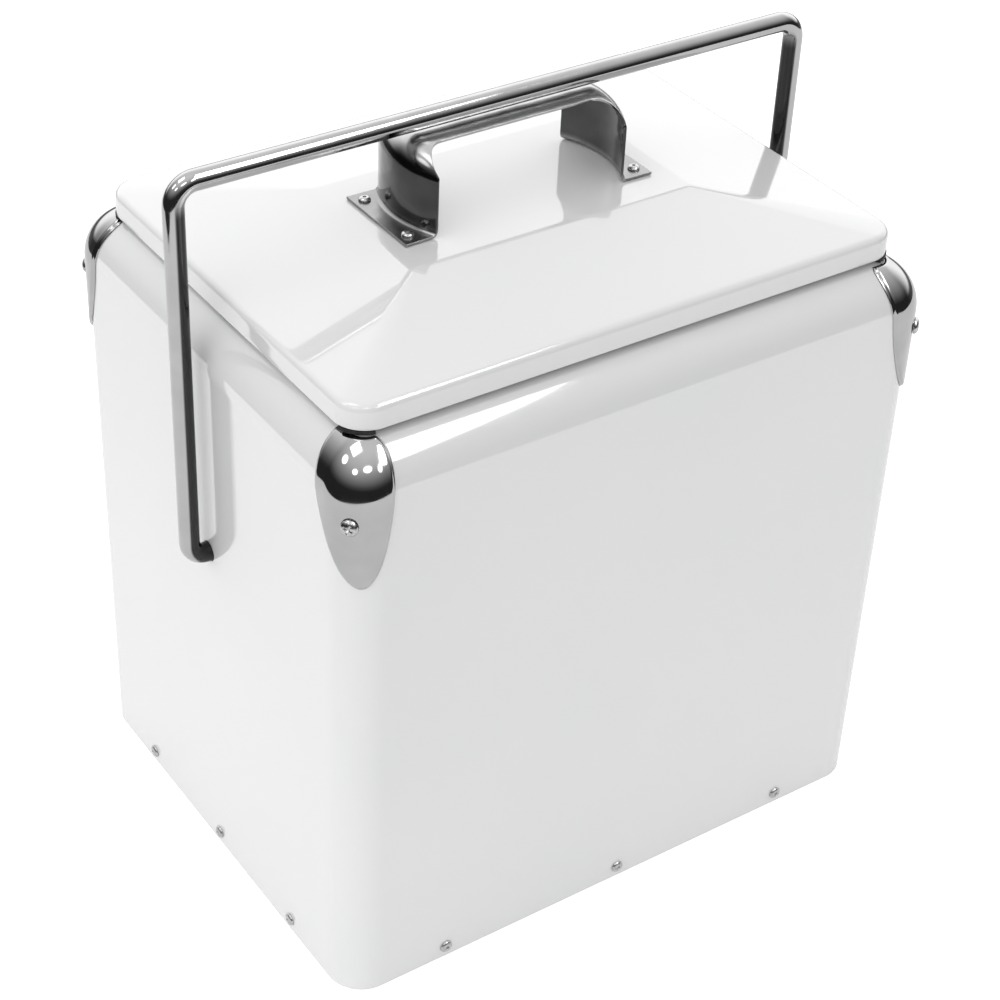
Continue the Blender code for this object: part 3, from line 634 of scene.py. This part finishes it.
def cut(item, mesh):
    """Subtract a cutter and leave the result in the piece's mesh."""
    cutter = bpy.data.objects.new("cutter", mesh)
    bpy.context.scene.collection.objects.link(cutter)
    boolean = item.modifiers.new("cut", "BOOLEAN")
    boolean.object = cutter
    boolean.operation = "DIFFERENCE"
    apply_modifiers(item)
    bpy.data.objects.remove(cutter)


def apply_modifiers(item):
    """Turn what a piece's modifiers make into its own mesh."""
    bpy.context.view_layer.update()
    graph = bpy.context.evaluated_depsgraph_get()
    mesh = bpy.data.meshes.new_from_object(item.evaluated_get(graph))
    item.modifiers.clear()
    item.data = mesh


def weighted_normals(item):
    """Flat panels keep their true normals beside rounded corners."""
    weighted = item.modifiers.new("normals", "WEIGHTED_NORMAL")
    weighted.keep_sharp = True
    weighted.weight = 80


def smooth_step(share):
    """Zero up to 0, one from 1 on, smooth between."""
    share = max(0.0, min(1.0, share))
    return share * share * (3 - 2 * share)


# ------------------------------------------------------------------ cabinet
def wall_ring(inset, z, corner=None):
    """Ring in the cabinet's wall, some way in from its outer face."""
    radius = BODY_CORNER - inset if corner is None else corner
    return rounded_rect(HALF_X - inset, HALF_Y - inset, radius, z)


def shoulder_rings(depth, steps):
    """Rings over the rounded shoulder, some way under its outer face."""
    rings = []
    for step in range(steps + 1):
        angle = pi / 2 * step / steps
        radius = SHOULDER_RADIUS - depth
        corner = max((BODY_CORNER - depth) * cos(angle), 0.6 * MM)
        rings.append(wall_ring(SHOULDER_RADIUS - radius * cos(angle),
                               SHOULDER_START + radius * sin(angle), corner))
    return rings


def mouth_ring(z, grow=2.0 * MM):
    """Ring of the shell's opening, a little wider than the cavity."""
    return rounded_rect(CAVITY_X + grow, CAVITY_Y + grow, CAVITY_CORNER + grow, z)


def pressed_wave(point):
    """Slow waves of the sheet, up to a tenth of a millimetre, fading out towards the edges."""
    inside_z = smooth_step((point.z - 0.02) / 0.05) * smooth_step((SHOULDER_START - 0.006 - point.z) / 0.05)
    amount = 0.12 * MM * inside_z * noise.noise(point * 11)
    near_wall = 2.5 * MM
    if HALF_X - abs(point.x) < near_wall and abs(point.y) < HALF_Y - BODY_CORNER:
        fade = smooth_step((HALF_Y - BODY_CORNER - abs(point.y)) / 0.04)
        point.x += amount * fade
    elif HALF_Y - abs(point.y) < near_wall and abs(point.x) < HALF_X - BODY_CORNER:
        fade = smooth_step((HALF_X - BODY_CORNER - abs(point.x)) / 0.04)
        point.y += amount * fade


def make_shell():
    """Wrapped wall with its shoulder, inner face, mouth and the holes that the rod's ends go through."""
    rows = 12
    heights = [5 * MM + (SHOULDER_START - 5 * MM) * row / rows for row in range(rows)]
    outer = [wall_ring(0.35 * MM, SHELL_FOOT), wall_ring(0, SHELL_FOOT + 0.35 * MM)]
    outer += [wall_ring(0, z) for z in heights] + shoulder_rings(0, 18)
    inner = [wall_ring(SHELL_GAUGE, z) for z in heights] + shoulder_rings(SHELL_GAUGE, 18)
    edge = [mouth_ring(DECK_Z), mouth_ring(DECK_Z - SHELL_GAUGE)]
    rings = outer + edge + list(reversed(inner)) + [wall_ring(SHELL_GAUGE, SHELL_FOOT)]
    for ring in rings:
        for point in ring:
            pressed_wave(point)
    shell = piece("outer_shell_fine", ring_mesh("outer_shell_fine", rings, looped=True), "cabinet",
                  "white_enamel", ["outer_shell"])
    for side in (-1, 1):
        cut(shell, round_cutter("rod_hole", Vector((side * HALF_X, 0, PIVOT.z)), Vector((side, 0, 0)),
                                ROD + 0.4 * MM, 8 * MM))
    weighted_normals(shell)


def cavity_ring(grow, z, floor):
    """Ring of the tapered cavity, grown by the liner's wall where that is wanted."""
    lean = CAVITY_DRAFT * (1 - (z - floor) / (DECK_Z - floor))
    return rounded_rect(CAVITY_X - lean + grow, CAVITY_Y - lean + grow, CAVITY_CORNER + grow, z)


def make_liner():
    """Moulded liner with a filleted floor and a rolled flange."""
    floor, wall_top = LINER_LOW.z + LINER_GAUGE, LINER_LOW.z + 0.24
    fillet = 7 * MM

    def wall(grow):
        base = floor - grow
        rings = []
        for step in range(7):
            angle = pi / 2 * step / 6
            rings.append(cavity_ring(grow - fillet * (1 - sin(angle)),
                                     base + fillet * (1 - cos(angle)), floor))
        rings += [cavity_ring(grow, base + fillet + (wall_top - base - fillet) * k / 5, floor)
                  for k in range(1, 5)]
        return rings

    def flange(inset, z):
        return rounded_rect(LINER_HIGH.x - inset, LINER_HIGH.y - inset, CAVITY_CORNER - inset, z)

    top, under = LINER_HIGH.z, DECK_Z + 0.3 * MM
    rings = wall(LINER_GAUGE) + [cavity_ring(LINER_GAUGE, under, floor)]
    rings += [flange(0.2 * MM, under), flange(0, under + 0.2 * MM), flange(0, top - 0.2 * MM),
              flange(0.2 * MM, top)]
    rings += [cavity_ring(1.6 * MM, top, floor), cavity_ring(0.5 * MM, top - 0.3 * MM, floor),
              cavity_ring(0, top - 1.5 * MM, floor)]
    rings += list(reversed(wall(0)))
    liner = piece("inner_liner_fine", ring_mesh("inner_liner_fine", rings), "cabinet", "liner_plastic",
                  ["inner_liner"])
    weighted_normals(liner)


# ------------------------------------------------------------------ fasteners
def rivet_profile(radius, rise, shank, grip):
    """Pop rivet: blind end, shank, domed head and the hollow that its mandrel left."""
    hollow = radius * 0.30
    profile = [(shank * 1.2, -grip - 2.0 * MM), (shank * 1.5, -grip - 1.0 * MM),
               (shank * 1.3, -grip - 0.2 * MM), (shank, -grip - 0.2 * MM), (shank, 0), (radius * 0.97, 0)]
    for step in range(9):
        angle = pi / 2 * step / 8
        across = hollow + (radius - hollow) * cos(angle) ** 0.9
        profile.append((across, rise * (0.12 + 0.88 * sin(angle))))
    profile += [(hollow * 0.9, rise * 0.9), (hollow * 0.82, rise * 0.55), (hollow * 0.4, rise * 0.60)]
    return profile


def make_rivets():
    """Every pop rivet sits where its CAD node does, on the side that its head faces."""
    for name in sorted(frame["nodes"]):
        if "_rivet_" not in name:
            continue
        low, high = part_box(name)
        middle = (low + high) / 2
        on_strap = name.startswith("strap")
        if on_strap:
            outward = Vector((0, 0, 1))
            seat = Vector((middle.x + STRAP_OFFSET, middle.y, STRAP_FOOT_TOP + 0.05 * MM))
        elif abs(middle.x) / HALF_X > abs(middle.y) / HALF_Y:
            side = 1 if middle.x > 0 else -1
            outward, seat = Vector((side, 0, 0)), Vector((side * (HALF_X + 0.05 * MM), middle.y, middle.z))
        else:
            side = 1 if middle.y > 0 else -1
            outward, seat = Vector((0, side, 0)), Vector((middle.x, side * (HALF_Y + 0.05 * MM), middle.z))
        radius = 2.9 * MM if on_strap else 3.2 * MM
        mesh = turned(name + "_fine", rivet_profile(radius, 1.7 * MM, 1.6 * MM, 2.8 * MM), seat, outward)
        piece(name + "_fine", mesh, "lid" if on_strap else "cabinet", "fixing_steel", [name])


def cross_recess(origin, axis, arm, slot, depth):
    """Tapered cross-shaped cutter, narrow end down in the head."""
    turn = Vector((0, 0, 1)).rotation_difference(axis).to_matrix().to_4x4()
    place = Matrix.Translation(origin) @ turn @ Matrix.Rotation(radians(20), 4, "Z")
    rings = []
    for height, scale in ((-depth, 0.45), (-depth * 0.6, 0.72), (0.8 * MM, 1.2)):
        a, s = arm * scale, slot * (0.8 + 0.2 * scale)
        plan = ((a, -s), (a, s), (s, s), (s, a), (-s, a), (-s, s), (-a, s), (-a, -s), (-s, -s), (-s, -a),
                (s, -a), (s, -s))
        rings.append([place @ Vector((x, y, height)) for x, y in plan])
    return ring_mesh("cross_recess", rings)


def screw_seat(word):
    """Point on the rounded corner where the cap's screw goes in, and the direction that it faces."""
    side_x, side_y = CORNERS[word]
    turn = pi / 4 + SCREW_SHIFT[word] / BODY_CORNER
    out = Vector((side_x * cos(turn), side_y * sin(turn), 0))
    axis_point = Vector((side_x * (HALF_X - BODY_CORNER), side_y * (HALF_Y - BODY_CORNER), CAP_SCREW_Z))
    return axis_point + out * BODY_CORNER, out


def make_screws():
    """Pan-head screws with a cross recess, one through each cap."""
    head, rise = 4.0 * MM, 2.3 * MM
    for word in CORNERS:
        skin, out = screw_seat(word)
        seat = skin + out * (CAP_RISE + 0.25 * MM)
        profile = [(0.3 * MM, -9 * MM), (1.5 * MM, -7 * MM), (1.5 * MM, 0),
                   (head * 0.96, 0), (head, 0.15 * MM)]
        for step in range(1, 9):
            angle = pi / 2 * step / 8
            profile.append((head * cos(angle) ** 0.7 if step < 8 else head * 0.15,
                            0.15 * MM + (rise - 0.15 * MM) * sin(angle)))
        name = f"cap_screw_{word}"
        screw = piece(name + "_fine", turned(name + "_fine", profile, seat, out), "cabinet", "fixing_steel",
                      [name])
        cut(screw, cross_recess(seat + out * rise, out, 2.3 * MM, 0.42 * MM, 1.5 * MM))


# ------------------------------------------------------------------ corner caps
def corner_surface(side_x, side_y, across, up):
    """Point on the cabinet's skin near a corner, as the CAD has it."""
    upright = SHOULDER_START - CAP_TIP
    angle = max(0.0, (up - upright) / SHOULDER_RADIUS)
    inset = SHOULDER_RADIUS * (1 - cos(angle))
    z = CAP_TIP + min(up, upright) + SHOULDER_RADIUS * sin(angle)
    radius = BODY_CORNER * cos(angle)
    half_arc = radius * pi / 4
    turn = max(-half_arc, min(half_arc, across)) / radius + pi / 4
    x = HALF_X - inset - radius + radius * cos(turn)
    y = HALF_Y - inset - radius + radius * sin(turn)
    x -= max(0.0, across - half_arc)
    y -= max(0.0, -half_arc - across)
    return Vector((side_x * x, side_y * y, z))


def lifted(side_x, side_y, across, up, lift):
    """Point a little way off the cabinet's skin near a corner, along the skin's normal."""
    small = 0.9 * MM
    round_way = (corner_surface(side_x, side_y, across + small, up)
                 - corner_surface(side_x, side_y, across - small, up))
    up_way = (corner_surface(side_x, side_y, across, up + small)
              - corner_surface(side_x, side_y, across, up - small))
    normal = round_way.cross(up_way).normalized()
    if normal.dot(Vector((side_x, side_y, 0.2))) < 0:
        normal.negate()
    return corner_surface(side_x, side_y, across, up) + normal * lift


def cap_half_width(up):
    """Half the cap's width, a given way up from its tip: a teardrop under a flat ellipse."""
    if up < CAP_WIDEST:
        return CAP_HALF_WIDTH * (1 - ((CAP_WIDEST - up) / CAP_WIDEST) ** 1.25) ** (1 / 1.8)
    return CAP_HALF_WIDTH * sqrt(1 - ((up - CAP_WIDEST) / CAP_TOP_LENGTH) ** 2)


def make_caps():
    """Pressed teardrops whose edges are rolled down to the cabinet's skin."""
    rows, columns, roll, clear = 64, 44, 1.3 * MM, 0.2 * MM
    for word, (side_x, side_y) in CORNERS.items():
        bm = bmesh.new()
        outer, inner = [], []
        tilt, shift, screw_up = radians(CAP_TILT[word]), CAP_SHIFT[word], CAP_SCREW_Z - CAP_TIP

        def placed(across, up, lift):
            """The cap as it was fitted: slightly turned about its screw."""
            above = up - screw_up
            return lifted(side_x, side_y, across * cos(tilt) - above * sin(tilt) + shift,
                          screw_up + across * sin(tilt) + above * cos(tilt), lift)

        for row in range(rows + 1):
            share = (1 - cos(pi * row / rows)) / 2
            up = 0.25 * MM + (CAP_LENGTH - 0.25 * MM) * share
            half = cap_half_width(up)
            outer_row, inner_row = [], []
            for column in range(columns + 1):
                across = half * sin(pi / 2 * (2 * column / columns - 1))
                edge = min(half - abs(across), CAP_LENGTH - up, up * 0.8)
                rounding = sqrt(1 - (1 - max(0.0, min((edge - CAP_LIP) / roll, 1.0))) ** 2)
                lip = 0.35 * MM * min(1.0, edge / (0.2 * MM))
                outer_row.append(bm.verts.new(
                    placed(across, up, clear + 0.1 * MM + lip + (CAP_RISE - clear - lip) * rounding)))
                inner_row.append(bm.verts.new(placed(across, up, clear)))
            outer.append(outer_row)
            inner.append(inner_row)
        skin_grid(bm, outer)
        skin_grid(bm, inner)
        rim_outer, rim_inner = grid_edge(outer), grid_edge(inner)
        for i, vertex in enumerate(rim_outer):
            j = (i + 1) % len(rim_outer)
            bm.faces.new((vertex, rim_outer[j], rim_inner[j], rim_inner[i]))
        name = f"corner_cap_{word}"
        cap = piece(name + "_fine", to_mesh(bm, name + "_fine", 60), "cabinet", "chrome", [name])
        cut(cap, round_cutter("screw_hole", *screw_seat(word), 1.9 * MM, 8 * MM))


# ------------------------------------------------------------------ bail
def arc(centre_x, centre_z, start, end, radius, steps):
    """Points of an arc in the bail's own plane, between two angles in degrees."""
    angles = [radians(start + (end - start) * k / steps) for k in range(steps + 1)]
    return [Vector((centre_x + radius * cos(a), 0, centre_z + radius * sin(a))) for a in angles]


def make_bail():
    """Bent round rod: the crossbar, two tight bends, two legs and the ends turned in to the pivots."""
    low_bend = arc(ROD_REACH - ROD_END_BEND, PIVOT.z + ROD_END_BEND, -90, 0, ROD_END_BEND, 14)
    top_bend = arc(ROD_REACH - ROD_TOP_BEND, ROD_TOP - ROD_TOP_BEND, 0, 90, ROD_TOP_BEND, 18)
    end = Vector((ROD_END, 0, PIVOT.z))
    half = [end] + straight(end, low_bend[0], 4) + low_bend
    half += straight(low_bend[-1], top_bend[0], 16) + top_bend
    mirrored = [Vector((-point.x, 0, point.z)) for point in reversed(half)]
    path = half + straight(half[-1], mirrored[0], 24) + mirrored
    sides = 32
    rings = []
    for i, point in enumerate(path):
        along = (path[min(i + 1, len(path) - 1)] - path[max(i - 1, 0)]).normalized()
        across = Vector((-along.z, 0, along.x))
        rings.append([point + ROD * (cos(2 * pi * k / sides) * across
                                     + sin(2 * pi * k / sides) * Vector((0, 1, 0))) for k in range(sides)])
    chamfer = 0.8 * MM

    def tip(ring, middle, inward):
        return [middle + (point - middle) * 0.86 + Vector((inward * chamfer, 0, 0)) for point in ring]

    rings = [tip(rings[0], path[0], -1)] + rings + [tip(rings[-1], path[-1], 1)]
    piece("bail_handle_fine", ring_mesh("bail_handle_fine", rings, sharp=50), "bail", "chrome",
          ["bail_handle"], "drawn_chrome")


# ------------------------------------------------------------------ lid
def lid_ring(inset, z):
    """Ring in the lid's rim, some way in from its outer face."""
    return rounded_rect(LID_X - inset, LID_Y - inset, LID_CORNER - inset, z)


def slope_ring(share, depth):
    """Ring on the lid's sloping sides: share 0 at the plateau's crease, 1 at the rim's rounded edge."""
    edge_inset = LID_EDGE - (LID_EDGE - depth) * cos(radians(LID_EDGE_ANGLE))
    edge_z = LID_RIM_TOP + (LID_EDGE - depth) * sin(radians(LID_EDGE_ANGLE))
    half_x = PLATEAU_X + (LID_X - edge_inset - PLATEAU_X) * share
    half_y = PLATEAU_Y + (LID_Y - edge_inset - PLATEAU_Y) * share
    corner = 2 * MM + (LID_CORNER - edge_inset - 2 * MM) * max(share, -0.02)
    run = LID_X - PLATEAU_X
    fall = PLATEAU_Z - depth - edge_z
    distance, soft = share * run, CREASE
    lowered = (distance + sqrt(distance ** 2 + soft ** 2)) / 2
    full = (run + sqrt(run ** 2 + soft ** 2)) / 2
    return rounded_rect(half_x, half_y, max(corner, 1.5 * MM), PLATEAU_Z - depth - fall * lowered / full)


def lid_surface(depth):
    """Rings from the rim's lower edge up to the middle of the plateau."""
    rings = [lid_ring(depth, RIM_Z + 0.3 * MM), lid_ring(depth, RIM_Z + 2.5 * MM),
             lid_ring(depth, (RIM_Z + LID_RIM_TOP) / 2), lid_ring(depth, LID_RIM_TOP - 1 * MM)]
    radius = LID_EDGE - depth
    steps = 9
    for step in range(steps):
        angle = radians(LID_EDGE_ANGLE * step / steps)
        rings.append(lid_ring(LID_EDGE - radius * cos(angle), LID_RIM_TOP + radius * sin(angle)))
    for share in (1.0, 0.97, 0.9, 0.8, 0.7, 0.6, 0.5, 0.4, 0.3, 0.2, 0.12, 0.08, 0.05, 0.03, 0.015, 0.0,
                  -0.015, -0.03, -0.05, -0.08, -0.14, -0.22, -0.32, -0.42, -0.52):
        rings.append(slope_ring(share, depth))
    return rings


def make_lid_skin():
    """Pressed skin with its inner face and the rounded lip between them."""
    outer, inner = lid_surface(0), lid_surface(LID_GAUGE)
    lip = [lid_ring(LID_GAUGE - 0.3 * MM, RIM_Z), lid_ring(0.3 * MM, RIM_Z)]
    rings = list(reversed(inner)) + lip + outer
    skin = piece("lid_skin_fine", ring_mesh("lid_skin_fine", rings, sharp=60), "lid", "white_enamel",
                 ["lid_skin"])
    weighted_normals(skin)


def make_lid_liner():
    """Tray whose plug, with a filleted floor, drops into the cabinet's mouth."""
    plug_x, plug_y, corner, gauge = 124 * MM, 93 * MM, 14 * MM, 1.4 * MM
    floor, seat = PLUG_LOW.z, GASKET_HIGH.z + 0.3 * MM
    fillet = 6 * MM

    def plug(depth):
        rings = []
        for step in range(7):
            angle = pi / 2 * step / 6
            shrink = depth + (fillet - depth) * (1 - sin(angle))
            rings.append(rounded_rect(plug_x - shrink, plug_y - shrink, corner - shrink,
                                      floor + depth + (fillet - depth) * (1 - cos(angle))))
        return rings

    outer = plug(0) + [rounded_rect(plug_x, plug_y, corner, seat)]
    inner = plug(gauge) + [rounded_rect(plug_x - gauge, plug_y - gauge, corner - gauge, PLUG_HIGH.z)]
    rim = [lid_ring(LID_X - PLUG_HIGH.x, seat), lid_ring(LID_X - PLUG_HIGH.x, PLUG_HIGH.z)]
    liner = piece("lid_liner_fine", ring_mesh("lid_liner_fine", outer + rim + list(reversed(inner))), "lid",
                  "liner_plastic", ["lid_liner"])
    weighted_normals(liner)


def make_gasket():
    """Rubber ring under the lid's flange, with a pad at each corner where the cabinet falls away."""
    low, high = DECK_Z + 1.4 * MM, GASKET_HIGH.z
    outer, inner, soft = (139.5 * MM, 104 * MM, 9 * MM), (130.5 * MM, 99.5 * MM, 7 * MM), 0.5 * MM

    def ring(size, shrink, z):
        return rounded_rect(size[0] - shrink, size[1] - shrink, size[2] - shrink, z)

    rings = [ring(outer, soft, low), ring(outer, 0, low + soft), ring(outer, 0, high - soft),
             ring(outer, soft, high), ring(inner, -soft, high), ring(inner, 0, high - soft),
             ring(inner, 0, low + soft), ring(inner, -soft, low)]
    bm = bmesh.new()
    skin_rings(bm, rings, looped=True)
    centre_x, centre_y = LID_X - LID_CORNER, LID_Y - LID_CORNER
    near, far, top = 9.5 * MM, 15.4 * MM, RIM_Z - 0.2 * MM
    section = ((near, PAD_Z), (far - soft, PAD_Z), (far, PAD_Z + soft), (far, top), (near, top))
    for side_x, side_y in CORNERS.values():
        sections = []
        for step in range(15):
            angle = radians(14 + 62 * step / 14)
            sections.append([Vector((side_x * (centre_x + radius * cos(angle)),
                                     side_y * (centre_y + radius * sin(angle)), z))
                             for radius, z in section])
        skin_rings(bm, sections)
    piece("lid_gasket_fine", to_mesh(bm, "lid_gasket_fine"), "lid", "gasket_rubber", ["lid_gasket"])


# ------------------------------------------------------------------ strap handle
def strap_row(x, z, normal, half_width, columns):
    """Row of points across the strap: an arc bulging along the normal."""
    row = []
    for column in range(columns + 1):
        y = half_width * (2 * column / columns - 1)
        drop = STRAP_CROWN - sqrt(STRAP_CROWN ** 2 - y ** 2)
        row.append(Vector((x - normal[0] * drop, y, z - normal[1] * drop)))
    return row


def strap_half(columns):
    """Outer face of the strap, from the right foot's tip over heel, leg and bend to the grip's middle."""
    heel = 2 * MM
    leg = strap_row(STRAP_REACH, STRAP_FOOT_TOP + heel, (1, 0), STRAP_LEG_HALF, columns)
    tip_half = STRAP_LEG_HALF + STRAP_FOOT_FLARE
    rows = []
    for share in (0, 0.03, 0.5, 0.97, 1):
        tips = [Vector((STRAP_REACH + STRAP_FOOT, tip_half * (2 * column / columns - 1), STRAP_FOOT_TOP))
                for column in range(columns + 1)]
        heels = [point + Vector((heel, 0, -heel)) for point in leg]
        rows.append([tip.lerp(at_heel, share) for tip, at_heel in zip(tips, heels)])
    for step in range(1, 7):
        angle = pi / 2 * step / 6
        rows.append([point + Vector((heel * (1 - sin(angle)), 0, -heel * cos(angle))) for point in leg])
    bend_z = STRAP_HIGH.z - STRAP_BEND
    for step in range(1, 9):
        z = STRAP_FOOT_TOP + heel + (bend_z - STRAP_FOOT_TOP - heel) * step / 8
        rows.append(strap_row(STRAP_REACH, z, (1, 0), STRAP_LEG_HALF, columns))
    flat_run = STRAP_REACH - STRAP_BEND - STRAP_GRIP_START
    narrowing = STRAP_BEND * pi / 2 + flat_run - STRAP_NARROWS

    def half_width(travelled):
        share = smooth_step((travelled - STRAP_NARROWS) / narrowing)
        return STRAP_LEG_HALF + (STRAP_GRIP_HALF - STRAP_LEG_HALF) * share

    for step in range(1, 21):
        angle = pi / 2 * step / 20
        rows.append(strap_row(STRAP_REACH - STRAP_BEND * (1 - cos(angle)), bend_z + STRAP_BEND * sin(angle),
                              (cos(angle), sin(angle)), half_width(STRAP_BEND * angle), columns))
    for step in range(1, 5):
        rows.append(strap_row(STRAP_REACH - STRAP_BEND - flat_run * step / 4, STRAP_HIGH.z, (0, 1),
                              half_width(STRAP_BEND * pi / 2 + flat_run * step / 4), columns))
    for step in range(1, 7):
        rows.append(strap_row(STRAP_GRIP_START * (1 - step / 6), STRAP_HIGH.z, (0, 1), STRAP_GRIP_HALF,
                              columns))
    return rows


def make_strap():
    """Sheet strap: half of it mirrored, given its gauge and soft edges, and set a little off the middle."""
    columns = 28
    half = strap_half(columns)
    rows = half + [[Vector((-point.x, point.y, point.z)) for point in row] for row in reversed(half[:-1])]
    aside = Vector((STRAP_OFFSET, 0, 0))
    bm = bmesh.new()
    grid = [[bm.verts.new(point + aside) for point in row] for row in rows]
    skin_grid(bm, grid)
    mesh = bpy.data.meshes.new("lid_strap_handle_fine")
    bm.to_mesh(mesh)
    bm.free()
    mesh.shade_smooth()
    strap = piece("lid_strap_handle_fine", mesh, "lid", "polished_stainless", ["lid_strap_handle"])
    solid = strap.modifiers.new("gauge", "SOLIDIFY")
    solid.thickness, solid.offset, solid.use_even_offset = STRAP_GAUGE, -1, True
    bevel = strap.modifiers.new("edges", "BEVEL")
    bevel.width, bevel.segments, bevel.limit_method, bevel.angle_limit = 0.35 * MM, 3, "ANGLE", radians(50)
    apply_modifiers(strap)
    strap.data.shade_smooth()
    weighted_normals(strap)


# ------------------------------------------------------------------ assembly
def dress_cad_nodes():
    """CAD nodes that stay get the procedural material of their slot."""
    slots = {row["node"]: row["material_slot"] for row in frame["record"]["subparts"]}
    for name, item in frame["nodes"].items():
        item.data.materials.clear()
        item.data.materials.append(MATERIALS[slots[name]])


set_camera()
set_studio()
dress_cad_nodes()
for make in (make_shell, make_liner, make_rivets, make_screws, make_caps, make_bail, make_lid_skin,
             make_lid_liner, make_gasket, make_strap):
    make()
